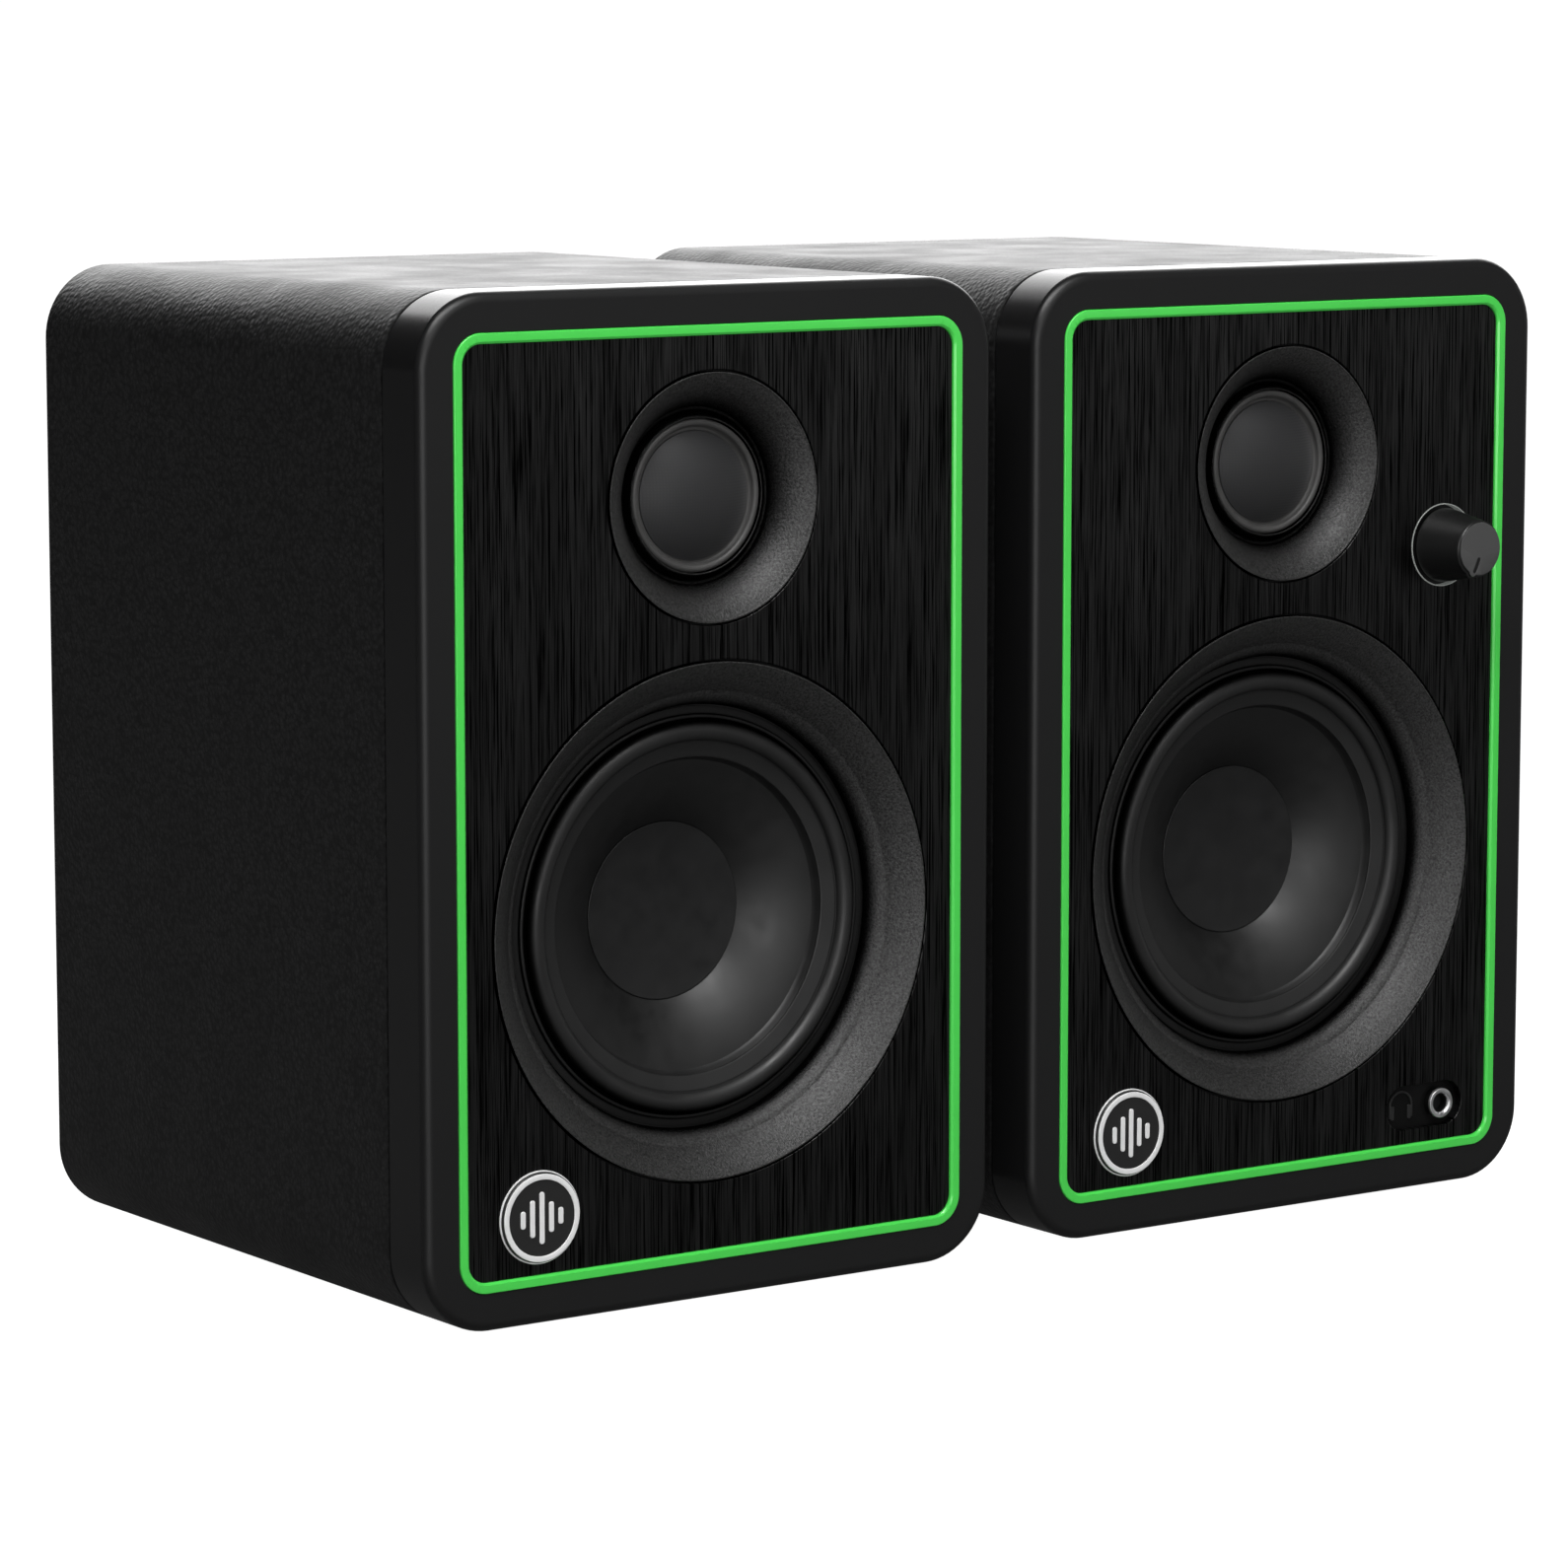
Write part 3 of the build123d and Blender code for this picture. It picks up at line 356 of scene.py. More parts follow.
# ------------------------------------------------------------------ materials
class Look:
    """A node material with a few shortcuts; its coordinates are the frame's, in metres."""

    def __init__(self, name, color, roughness, metallic=0.0, specular=0.5):
        self.material = bpy.data.materials.new(name)
        self.material.use_nodes = True
        self.tree = self.material.node_tree
        self.shader = self.tree.nodes["Principled BSDF"]
        self.shader.inputs["Base Color"].default_value = (*color, 1)
        self.shader.inputs["Roughness"].default_value = roughness
        self.shader.inputs["Metallic"].default_value = metallic
        self.shader.inputs["Specular IOR Level"].default_value = specular
        self.place = self.add("ShaderNodeTexCoord").outputs["Object"]
        self.normal = None

    def add(self, kind, **inputs):
        """New node with some of its inputs set; a value may be a number, a tuple or a socket."""
        node = self.tree.nodes.new(kind)
        for name, value in inputs.items():
            self.feed(node.inputs[name.replace("_", " ")], value)
        return node

    def feed(self, socket, value):
        """Link a socket or set a value."""
        if isinstance(value, bpy.types.NodeSocket):
            self.tree.links.new(value, socket)
        else:
            socket.default_value = value

    def stretched(self, x, y, z):
        """Coordinates scaled along each axis."""
        return self.add("ShaderNodeMapping", Vector=self.place, Scale=(x, y, z)).outputs["Vector"]

    def noise(self, scale, detail=2.0, vector=None, rough=0.5):
        """Noise value."""
        node = self.add("ShaderNodeTexNoise", Vector=vector or self.place, Scale=scale, Detail=detail)
        node.inputs["Roughness"].default_value = rough
        return node.outputs["Fac"]

    def mapped(self, value, low, high, start=0.3, end=0.7):
        """Value between start and end spread over low to high."""
        node = self.add("ShaderNodeMapRange")
        self.feed(node.inputs["Value"], value)
        for name, number in (("From Min", start), ("From Max", end), ("To Min", low), ("To Max", high)):
            node.inputs[name].default_value = number
        return node.outputs["Result"]

    def blended(self, value, first, second):
        """Colour between two colours."""
        node = self.tree.nodes.new("ShaderNodeMix")
        node.data_type = "RGBA"
        self.feed(node.inputs["Factor"], value)
        self.feed(node.inputs["A"], (*first, 1))
        self.feed(node.inputs["B"], (*second, 1))
        return node.outputs["Result"]

    def combined(self, operation, first, second):
        """Arithmetic on two values."""
        node = self.tree.nodes.new("ShaderNodeMath")
        node.operation = operation
        self.feed(node.inputs[0], first)
        self.feed(node.inputs[1], second)
        return node.outputs["Value"]

    def painted_crevice_shade(self, reach, start, end):
        """Mask for painted shade in crevices: 0 where surfaces within reach close the point in, 1 where it
        lies open.
        """
        node = self.tree.nodes.new("ShaderNodeAmbientOcclusion")
        node.samples = 6
        node.inputs["Distance"].default_value = reach
        return self.mapped(node.outputs["AO"], 0, 1, start, end)

    def facing(self, start, end):
        """0 on the sides and 1 on surfaces that face the front."""
        normal = self.tree.nodes.new("ShaderNodeNewGeometry").outputs["Normal"]
        parts = self.tree.nodes.new("ShaderNodeSeparateXYZ")
        self.feed(parts.inputs["Vector"], normal)
        return self.mapped(parts.outputs["Y"], 1, 0, start, end)

    def gloss(self, value):
        """Drive the strength of the highlights."""
        self.feed(self.shader.inputs["Specular IOR Level"], value)

    def mix(self, factor, first, second):
        """Mix two shaders and return the mixed one."""
        node = self.tree.nodes.new("ShaderNodeMixShader")
        for socket, value in zip(node.inputs, (factor, first, second)):
            self.feed(socket, value)
        return node.outputs["Shader"]

    def color(self, value):
        """Drive the base colour."""
        self.feed(self.shader.inputs["Base Color"], value)

    def roughness(self, value):
        """Drive the roughness."""
        self.feed(self.shader.inputs["Roughness"], value)

    def bump(self, height, depth_mm, strength=1.0):
        """Add a layer of relief depth_mm deep."""
        node = self.add("ShaderNodeBump", Height=height, Strength=strength, Distance=depth_mm * MM)
        if self.normal:
            self.feed(node.inputs["Normal"], self.normal)
        self.normal = node.outputs["Normal"]
        self.feed(self.shader.inputs["Normal"], self.normal)


def vinyl_wrap():
    """Black vinyl with a fine pebble grain; its colour is painted darker in the grain's hollows as painted
    shade.
    """
    look = Look("vinyl_wrap", (0.01, 0.01, 0.01), 0.45, specular=0.42)
    cells = look.add("ShaderNodeTexVoronoi", Vector=look.place, Scale=900.0)
    cells.feature = "SMOOTH_F1"
    cells.inputs["Smoothness"].default_value = 0.3
    pebbles = look.mapped(cells.outputs["Distance"], 1, 0, 0.1, 0.75)
    creases = look.noise(420.0, 4.0)
    look.bump(pebbles, 0.12, 0.8)
    look.bump(creases, 0.12, 0.6)
    # Painted shade: the colour darkens where the pebbles and creases sink in.
    shade = look.combined("MULTIPLY", pebbles, look.mapped(creases, 0.5, 1))
    look.color(look.blended(shade, (0.006, 0.006, 0.0061), (0.02, 0.02, 0.0203)))
    look.roughness(look.mapped(look.noise(60.0, 3.0), 0.4, 0.52))
    return look.material


def moulded_plastic(name, color, roughness, grain_mm=0.02, specular=0.5):
    """Moulded plastic with a fine mould texture and slightly uneven gloss."""
    look = Look(name, color, roughness, specular=specular)
    look.bump(look.noise(2600.0, 2.0), grain_mm, 0.5)
    look.roughness(look.mapped(look.noise(90.0, 4.0), roughness - 0.05, roughness + 0.05))
    return look.material


def bezel_plastic():
    """Black plastic, satin on the face and smoother on the sides."""
    look = Look("satin_black_plastic", (0.008, 0.008, 0.0082), 0.3, specular=0.45)
    face = look.facing(-0.8, -0.2)
    look.bump(look.combined("MULTIPLY", look.noise(2600.0, 2.0), face), 0.02, 0.5)
    look.roughness(look.mapped(face, 0.24, 0.46, 0, 1))
    return look.material


def spark_textured():
    """Satin black plastic with a spark-eroded grain; its colour is painted lighter on the grain's raised
    bits and darker in its pits as painted glints and shade, and its colour and highlights fade out in the
    dish's throat as painted shade.
    """
    look = Look("spark_textured_plastic", (0.01, 0.0098, 0.0095), 0.4, specular=0.9)
    grain = look.noise(2100.0, 3.0, rough=0.7)
    # Painted shade: colour and highlights fade to black where the dish closes in around its throat.
    bare = look.painted_crevice_shade(0.03, 0.68, 0.88)
    look.bump(grain, 0.16, 0.9)
    look.bump(look.noise(900.0, 2.0), 0.06, 0.3)
    # Colour mask of painted glints on the grain and painted shade in the throat.
    lit = look.combined("MULTIPLY", look.mapped(grain, 0.1, 1), bare)
    look.color(look.blended(lit, (0.0005, 0.0005, 0.0005), (0.036, 0.0355, 0.035)))
    look.gloss(look.combined("MULTIPLY", bare, look.mapped(grain, 0.4, 1.0)))
    look.roughness(look.mapped(look.noise(1500.0, 2.0), 0.38, 0.5))
    return look.material


def brushed_panel():
    """Black metal plate brushed from top to bottom."""
    look = Look("brushed_black_panel", (0.01, 0.01, 0.01), 0.36, specular=0.35)
    fine = look.noise(1.0, 2.0, look.stretched(3200.0, 1.0, 30.0), 0.6)
    broad = look.noise(1.0, 3.0, look.stretched(2200.0, 1.0, 26.0), 0.8)
    patches = look.noise(1.0, 3.0, look.stretched(170.0, 1.0, 24.0), 0.6)
    crisp = look.mapped(broad, 0, 1, 0.42, 0.52)
    streaks = look.combined("MULTIPLY", crisp, look.mapped(patches, 0.5, 1.0))
    both = look.combined("ADD", look.combined("MULTIPLY", streaks, 0.7), look.mapped(fine, 0, 0.3))
    look.color(look.blended(both, (0.0001, 0.0001, 0.0001), (0.0022, 0.0022, 0.0023)))
    look.roughness(look.mapped(both, 0.42, 0.26, 0.0, 1.0))
    look.gloss(look.mapped(both, 0.0, 1.0, 0.15, 1.0))
    look.bump(fine, 0.012, 0.6)
    look.bump(broad, 0.03, 0.6)
    return look.material


def green_trim():
    """Bright green glossy plastic."""
    look = Look("green_trim", (0.075, 0.72, 0.088), 0.28, specular=0.5)
    look.bump(look.noise(1800.0, 2.0), 0.01, 0.3)
    look.color(look.blended(look.noise(70.0, 2.0), (0.074, 0.7, 0.09), (0.082, 0.76, 0.1)))
    look.shader.inputs["Coat Weight"].default_value = 0.3
    look.shader.inputs["Coat Roughness"].default_value = 0.12
    return look.material


def cone_polymer(name, color, roughness, specular=0.5):
    """Smooth pressed polymer with a faint cloudiness."""
    look = Look(name, color, roughness, specular=specular)
    cloud = look.noise(240.0, 5.0)
    darker = tuple(channel * 0.85 for channel in color)
    lighter = tuple(channel * 1.15 for channel in color)
    look.color(look.blended(look.mapped(cloud, 0, 1), darker, lighter))
    look.roughness(look.mapped(cloud, roughness - 0.05, roughness + 0.06))
    look.bump(look.noise(1600.0, 3.0), 0.018, 0.5)
    return look.material


def soft_rubber():
    """Satin rubber, with its colour and highlights painted out as painted shade in its crevices."""
    look = Look("surround_rubber", (0.009, 0.009, 0.009), 0.45, specular=0.55)
    look.bump(look.noise(1900.0, 3.0), 0.02, 0.5)
    look.roughness(look.mapped(look.noise(150.0, 3.0), 0.42, 0.54))
    # Painted shade: colour and highlights fade to black in the surround's crevices.
    bare = look.painted_crevice_shade(0.025, 0.45, 0.88)
    look.color(look.blended(bare, (0.0005, 0.0005, 0.0005), (0.012, 0.012, 0.012)))
    look.gloss(look.combined("MULTIPLY", bare, 0.6))
    return look.material


def woven_silk():
    """Coated silk: a fine weave under a soft shine."""
    look = Look("silk_dome", (0.022, 0.022, 0.023), 0.5, specular=0.4)
    weave = None
    for axis in ("X", "Z"):
        wave = look.add("ShaderNodeTexWave", Vector=look.place, Scale=520.0, Distortion=0.6)
        wave.bands_direction = axis
        wave.inputs["Detail"].default_value = 1.0
        level = wave.outputs["Fac"]
        weave = level if weave is None else look.combined("MULTIPLY", weave, level)
    look.bump(weave, 0.03, 0.35)
    look.roughness(look.mapped(weave, 0.6, 0.42, 0, 1))
    look.shader.inputs["Sheen Weight"].default_value = 0.15
    look.shader.inputs["Sheen Roughness"].default_value = 0.4
    return look.material


def bright_metal(name, color, roughness):
    """Plated metal with faint polishing marks."""
    look = Look(name, color, roughness, metallic=1.0)
    marks = look.noise(1.0, 3.0, look.stretched(400.0, 3000.0, 400.0))
    look.roughness(look.mapped(marks, roughness * 0.7, roughness * 1.5))
    look.bump(marks, 0.006, 0.4)
    return look.material


def painted_metal(name, color, roughness):
    """Powder coat: a fine orange-peel skin."""
    look = Look(name, color, roughness)
    look.bump(look.noise(1100.0, 4.0), 0.05, 0.5)
    look.bump(look.noise(4000.0, 2.0), 0.02, 0.4)
    look.roughness(look.mapped(look.noise(300.0, 3.0), roughness - 0.06, roughness + 0.06))
    return look.material


def light_guide():
    """Translucent ring that glows faintly."""
    look = Look("light_ring", (0.3, 0.31, 0.3), 0.3)
    look.color(look.blended(look.noise(300.0, 2.0), (0.25, 0.26, 0.25), (0.34, 0.35, 0.34)))
    look.shader.inputs["Emission Color"].default_value = (0.8, 0.85, 0.8, 1)
    look.shader.inputs["Emission Strength"].default_value = 0.1
    return look.material


def white_paint():
    """Pad-printed white, slightly uneven in tone."""
    look = Look("white_paint", (0.86, 0.86, 0.86), 0.35)
    look.bump(look.noise(1500.0, 2.0), 0.012, 0.4)
    look.color(look.blended(look.noise(500.0, 3.0), (0.82, 0.82, 0.82), (0.9, 0.9, 0.9)))
    return look.material


LOOKS = {
    "vinyl": vinyl_wrap(),
    "bezel": bezel_plastic(),
    "spark": spark_textured(),
    "panel": brushed_panel(),
    "green": green_trim(),
    "cone": cone_polymer("cone_polymer", (0.003, 0.003, 0.003), 0.5, 0.7),
    "cap": cone_polymer("cap_polymer", (0.0105, 0.0105, 0.0107), 0.46),
    "rubber": soft_rubber(),
    "silk": woven_silk(),
    "bead": cone_polymer("tweeter_bead", (0.055, 0.054, 0.053), 0.5),
    "chrome": bright_metal("chrome_ring", (0.78, 0.78, 0.79), 0.42),
    "nickel": bright_metal("nickel_plate", (0.72, 0.69, 0.64), 0.18),
    "zinc": bright_metal("zinc_plate", (0.55, 0.56, 0.58), 0.34),
    "knob": moulded_plastic("knob_plastic", (0.009, 0.009, 0.009), 0.36, 0.014, 0.45),
    "knob face": moulded_plastic("knob_face_plastic", (0.075, 0.075, 0.075), 0.42, 0.014, 0.5),
    "badge": moulded_plastic("badge_grey", (0.018, 0.018, 0.018), 0.4, 0.015),
    "white": white_paint(),
    "light": light_guide(),
    "black": moulded_plastic("socket_black", (0.002, 0.002, 0.002), 0.5, 0.01, 0.25),
    "icon": moulded_plastic("icon_black", (0.02, 0.02, 0.02), 0.3, 0.008),
    "red": moulded_plastic("lever_red", (0.42, 0.012, 0.01), 0.3, 0.012),
    "port": moulded_plastic("port_plastic", (0.014, 0.014, 0.014), 0.45, 0.03),
    "plate": painted_metal("rear_plate_paint", (0.014, 0.014, 0.0145), 0.48),
    "steel": painted_metal("black_steel", (0.016, 0.016, 0.016), 0.4),
    "screw": bright_metal("black_screw_steel", (0.12, 0.12, 0.125), 0.35),
    "foot": moulded_plastic("foot_rubber", (0.02, 0.02, 0.02), 0.7, 0.04),
    "ferrite": painted_metal("ferrite", (0.03, 0.03, 0.031), 0.6),
    "board": moulded_plastic("circuit_board", (0.01, 0.09, 0.03), 0.4, 0.02),
    "cloth": moulded_plastic("spider_cloth", (0.4, 0.26, 0.11), 0.8, 0.05),
}


# ------------------------------------------------------------------ cabinet and front
def add_cabinet(speaker, powered):
    """Vinyl-wrapped box with crisp wrapped edges, open in front, with the openings in its back."""
    bm = bmesh.new()
    front = BEZEL_DEPTH + PARTING_GAP
    inner_back = speaker.depth - WALL
    middle = speaker.height / 2
    outline = rounded(speaker.width, speaker.height, CORNER_RADIUS, 0, middle)
    profile = [(SEAM_EASE, front), (0, front + 0.2)]
    profile += rim_profile(front + 2 * WRAP_EASE, speaker.depth, WRAP_EASE)
    inner_width = speaker.width - 2 * WALL
    inner_height = speaker.height - 2 * WALL
    cavity = rounded(inner_width, inner_height, CORNER_RADIUS - WALL, 0, middle)
    rear = "amp_plate" if powered else "terminal_plate"
    opening_width, opening_height = (size - REAR_PLATE_LAP for size in speaker.size(rear))
    openings = [
        round_outline(PORT_HOLE, *speaker.port),
        rounded(opening_width, opening_height, 1.0, *speaker.centre(rear)),
    ]
    outer = walls(bm, speaker, outline, profile, 1)
    inner = walls(bm, speaker, cavity, [(0, front), (0, inner_back)], -1)
    holes = [walls(bm, speaker, hole, [(0, inner_back), (0, speaker.depth)], -1) for hole in openings]
    cap(bm, [outer[0], inner[0]])
    cap(bm, [inner[1]] + [hole[0] for hole in holes])
    cap(bm, [outer[1]] + [hole[1] for hole in holes])
    piece(bm, speaker, "cabinet_wrap", LOOKS["vinyl"], ["cabinet"], slot="vinyl_wrap")


def add_bezel(speaker):
    """Front frame with a round front edge, and the baffle behind the panel."""
    bm = bmesh.new()
    middle = speaker.height / 2
    trim_width, trim_height = speaker.size("trim_ring")
    outline = rounded(speaker.width, speaker.height, CORNER_RADIUS, 0, middle)
    profile = [(SEAM_EASE, BEZEL_DEPTH), (0, BEZEL_DEPTH - 0.15)]
    profile += rim_profile(BEZEL_DEPTH - 1, 0, BEZEL_FILLET, 14)
    trim = rounded(trim_width, trim_height, TRIM_RADIUS, 0, middle)
    pocket = grown(trim, TRIM_CLEARANCE)
    plate(bm, speaker, outline, profile, [pocket], rim_profile(BEZEL_DEPTH, 0, 0.18))
    baffle = grown(trim, BAFFLE_LAP)
    holes = [
        round_outline(WOOFER_OPENING - 0.4, *speaker.woofer),
        round_outline(TWEETER_OPENING - 0.35, *speaker.tweeter),
    ]
    plate(bm, speaker, baffle, [(0, BAFFLE_BACK), (0, PANEL_BACK + 0.05)], holes)
    piece(bm, speaker, "bezel_moulding", LOOKS["bezel"], ["front_bezel"], slot="satin_black_plastic")


def add_trim(speaker):
    """Green strip standing slightly proud, with its inner edge bevelled down to the panel."""
    bm = bmesh.new()
    width, height = speaker.size("trim_ring")
    middle = speaker.height / 2
    outline = rounded(width, height, TRIM_RADIUS, 0, middle)
    inner = rounded(width - 2 * TRIM_WIDTH, height - 2 * TRIM_WIDTH, TRIM_RADIUS - TRIM_WIDTH, 0, middle)
    outer_edge = rim_profile(PANEL_BACK, TRIM_FRONT, 0.25)
    bevel = [(0, 0.12), (0.08, 0.02), (0.42, TRIM_FRONT + 0.04), (0.5, TRIM_FRONT)]
    plate(bm, speaker, outline, outer_edge, [inner], [(0, PANEL_BACK)] + bevel)
    piece(bm, speaker, "trim_strip", LOOKS["green"], ["trim_ring"], slot="green_trim")


def add_panel(speaker, powered):
    """Brushed plate with finely broken edges around its openings."""
    bm = bmesh.new()
    width, height = speaker.size("front_panel")
    middle = speaker.height / 2
    outline = rounded(width, height, TRIM_RADIUS - TRIM_WIDTH, 0, middle)
    holes = [
        round_outline(WOOFER_OPENING, *speaker.woofer),
        round_outline(TWEETER_OPENING, *speaker.tweeter),
    ]
    if powered:
        knob = speaker.centre("knob_ring")
        holes.append(round_outline(speaker.radius("knob_ring") + 0.06, *knob, steps=96))
        holes.append(pill_outline(speaker))
    profile = rim_profile(PANEL_BACK, PANEL_FRONT, 0.12, 3)
    plate(bm, speaker, outline, profile, holes, rim_profile(PANEL_BACK, PANEL_FRONT, 0.2))
    piece(bm, speaker, "brushed_plate", LOOKS["panel"], ["front_panel"], slot="brushed_black_panel")


def pill_outline(speaker):
    """Oval recess around the headphone socket."""
    jack_x, jack_z = speaker.centre("jack_nut")
    x = jack_x - (PILL_LENGTH - PILL_HEIGHT) / 2 + 1.15
    return rounded(PILL_LENGTH, PILL_HEIGHT, PILL_HEIGHT / 2 - 0.01, x, jack_z)


def add_badge(speaker):
    """Generic round badge: a raised disc, a white ring and five plain white bars."""
    x, z = speaker.badge
    radius = speaker.radius("badge")
    face = PANEL_FRONT - 0.9
    bm = bmesh.new()
    disc = round_outline(radius, x, z)
    plate(bm, speaker, disc, rim_profile(PANEL_FRONT - 0.02, face, 0.35))
    piece(bm, speaker, "badge_disc", LOOKS["badge"], ["badge"], slot="white_badge")
    bm = bmesh.new()
    base = rim_profile(PANEL_FRONT, PANEL_FRONT - 0.3, 0.1, 3)
    plate(bm, speaker, grown(disc, 0.32), base, [disc], base)
    raised = rim_profile(face + 0.1, face - 0.22, 0.12, 3)
    plate(bm, speaker, grown(disc, -0.25), raised, [grown(disc, -1.4)], raised)
    bar_width = 1.15
    bar_spacing = 2.25
    bar_heights = (3.6, 7.6, 10.6, 6.2, 3.4)
    for step, height in enumerate(bar_heights):
        bar_x = x + (step - len(bar_heights) // 2) * bar_spacing
        plate(bm, speaker, rounded(bar_width, height, 0.5, bar_x, z), raised)
    piece(bm, speaker, "badge_marks", LOOKS["white"])


# ------------------------------------------------------------------ drivers
def flare_lip(lip, back):
    """Outer wall of a flare and its front edge, from the back to where the dish starts."""
    return eased((lip, back), (lip, LIP_FRONT, 0.1), (lip - 0.28, LIP_FRONT))


def dish_start(lip):
    """Point where a flare's dish leaves its lip."""
    return lip - 0.3, LIP_FRONT + 0.03


def flex(surround, speaker, axis, moving_body, inner, outer):
    """Bend a round surround between the speaker and its moving middle, by distance from the axis."""
    centre = speaker.at(axis[0], 0, axis[1])
    fixed_edge = centre + Vector((outer * MM, 0, 0))
    moving_edge = centre + Vector((inner * MM, 0, 0))
    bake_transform(surround, speaker.body, moving_body, fixed_edge, moving_edge)
    weights = surround.data.attributes["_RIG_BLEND"]
    for index, vertex in enumerate(surround.data.vertices):
        away = math.hypot(vertex.co.x - centre.x, vertex.co.z - centre.z) / MM
        share = min(max((outer - away) / (outer - inner), 0), 1)
        eased_share = share * share * (3 - 2 * share)
        weights.data[index].value = eased_share


def add_woofer_flare(speaker):
    """Dished ring whose slope steepens towards its throat."""
    lip = speaker.radius("woofer_flare")
    inner_wall = lip - 1.8
    shoulder = (46.8, 5.4)
    throat = (43.66, 9.4)
    dish = arc(dish_start(lip), shoulder, 0.25) + arc(shoulder, throat, 0.65)[1:]
    foot = eased((43.68, 9.45), (43.8, 9.6, 0.08), (45.0, 9.85))
    back = arc((45.1, 9.85), (inner_wall, 4.6), -1.2, 16) + [(inner_wall, WOOFER_FLARE_BACK)]
    outline = flare_lip(lip, WOOFER_FLARE_BACK) + dish + foot + back
    details = ("woofer_dish", LOOKS["spark"], ["woofer_flare"])
    turned(speaker, speaker.woofer, outline, *details, slot="textured_black_plastic")


def add_woofer_surround(speaker, cone_body):
    """Rubber half-roll with its gasket outside and its land on the cone; it flexes with the cone."""
    gasket = [(43.4, 10.1), (43.4, 9.55), (42.2, 9.5)]
    bead = arc((41.75, 9.5), (40.75, 9.45), 0.62, 10)
    groove = eased((40.6, 9.7), (40.35, 9.85, 0.1), (40.2, 9.45))
    roll = arc((40.15, 9.3), (36.3, 8.6), 2.2, 40)
    land = eased((36.15, 8.68), (35.9, 8.66, 0.08), (33.2, 9.5, 0.1), (32.98, 9.6, 0.05), (32.98, 9.78))
    underside = [(36.3, 9.78)] + arc((36.8, 9.7), (39.6, 9.9), -1.75) + [(40.1, 10.12)]
    outline = gasket + bead + groove + roll + land + underside
    details = ("woofer_roll", LOOKS["rubber"], ["woofer_surround"])
    surround = turned(speaker, speaker.woofer, outline, *details, rides=False, slot="rubber_surround")
    flex(surround, speaker, speaker.woofer, cone_body, 36.2, 40.3)


def add_woofer_cone(speaker, cone_body):
    """Shallow curved cone with a rim under the surround and a neck around the voice coil."""
    rim = [(36.0, 9.84)] + eased((32.9, 9.84), (32.45, 11.1, 0.4), CONE_RIM)
    face = arc(CONE_RIM, CONE_NECK, 1.0, 40)
    neck = [(13.1, 24.0), (13.1, 25.0), (18.2, 21.0)]
    back = arc((18.3, 20.95), (32.8, 12.5), -1.0, 20) + [(33.5, 10.5), (36.0, 10.5)]
    details = ("woofer_dish_cone", LOOKS["cone"], ["woofer_cone"], cone_body)
    turned(speaker, speaker.woofer, rim + face + neck + back, *details, slot="cone_polymer")


def add_dust_cap(speaker, cone_body):
    """Slightly dished cap glued over the cone's neck."""
    front = crown(20.55, (17.9, 19.42))
    edge = eased((18.1, 19.38), (18.42, 19.33, 0.12), (18.48, 19.5, 0.05), (18.4, 19.58))
    back = crown(21.1, (18.3, 19.62))
    details = ("woofer_cap", LOOKS["cap"], ["woofer_dust_cap"], cone_body)
    turned(speaker, speaker.woofer, front + edge + back[::-1], *details, slot="cone_polymer")


def add_tweeter_flare(speaker):
    """Dished ring with a raised collar around the dome."""
    lip = speaker.radius("tweeter_flare")
    inner_wall = lip - 1.65
    dish = arc(dish_start(lip), (18.0, 7.85), 1.0, 32)
    collar = eased(
        (17.9, 7.9), (17.45, 7.95, 0.12), (17.2, 7.7, 0.1), (16.25, 6.7, 0.2),
        (15.85, 6.5, 0.15), (15.72, 6.75, 0.1), (15.72, 8.3),
    )
    back = [(19.0, 8.3)] + arc((19.1, 8.25), (inner_wall, 4.4), -0.5, 12)
    back += [(inner_wall, TWEETER_FLARE_BACK)]
    outline = flare_lip(lip, TWEETER_FLARE_BACK) + dish + collar + back
    details = ("tweeter_dish", LOOKS["spark"], ["tweeter_flare"])
    turned(speaker, speaker.tweeter, outline, *details, slot="textured_black_plastic")


def add_tweeter_bead(speaker, dome_body):
    """Small half-roll around the dome; it flexes with the dome."""
    flange = [(17.0, 8.7), (17.0, 8.42), (15.6, 8.42)]
    roll = arc((15.55, 7.6), (14.15, 7.5), 0.85)
    land = eased((14.1, 7.7), (13.75, 8.2, 0.2), (13.24, 8.1, 0.1), (13.24, 8.45))
    outline = flange + roll + land + [(14.0, 8.6), (15.2, 8.75)]
    details = ("tweeter_bead", LOOKS["bead"], ["tweeter_surround"])
    bead = turned(speaker, speaker.tweeter, outline, *details, rides=False, slot="silk_dome")
    flex(bead, speaker, speaker.tweeter, dome_body, 13.4, 15.4)


def add_dome(speaker, dome_body):
    """Soft dome with a thin skirt that carries its coil."""
    inner = DOME_RADIUS - 0.3
    front = crown(3.6, (13.0, 7.78), 40)
    skirt = eased((13.1, 7.83), (DOME_RADIUS, 7.95, 0.05), (DOME_RADIUS, 8.4))
    skirt += [(DOME_RADIUS, 12.5), (inner, 12.5), (inner, 8.2)]
    back = crown(4.0, (12.85, 8.15))
    details = ("silk_cap", LOOKS["silk"], ["tweeter_dome"], dome_body)
    turned(speaker, speaker.tweeter, front + skirt + back[::-1], *details, slot="silk_dome")


def add_drivers(speaker):
    """Woofer and tweeter, with the parts that move riding on their own bodies."""
    cone_body = f"{speaker.side}_woofer"
    dome_body = f"{speaker.side}_tweeter"
    add_woofer_flare(speaker)
    add_woofer_surround(speaker, cone_body)
    add_woofer_cone(speaker, cone_body)
    add_dust_cap(speaker, cone_body)
    add_tweeter_flare(speaker)
    add_tweeter_bead(speaker, dome_body)
    add_dome(speaker, dome_body)


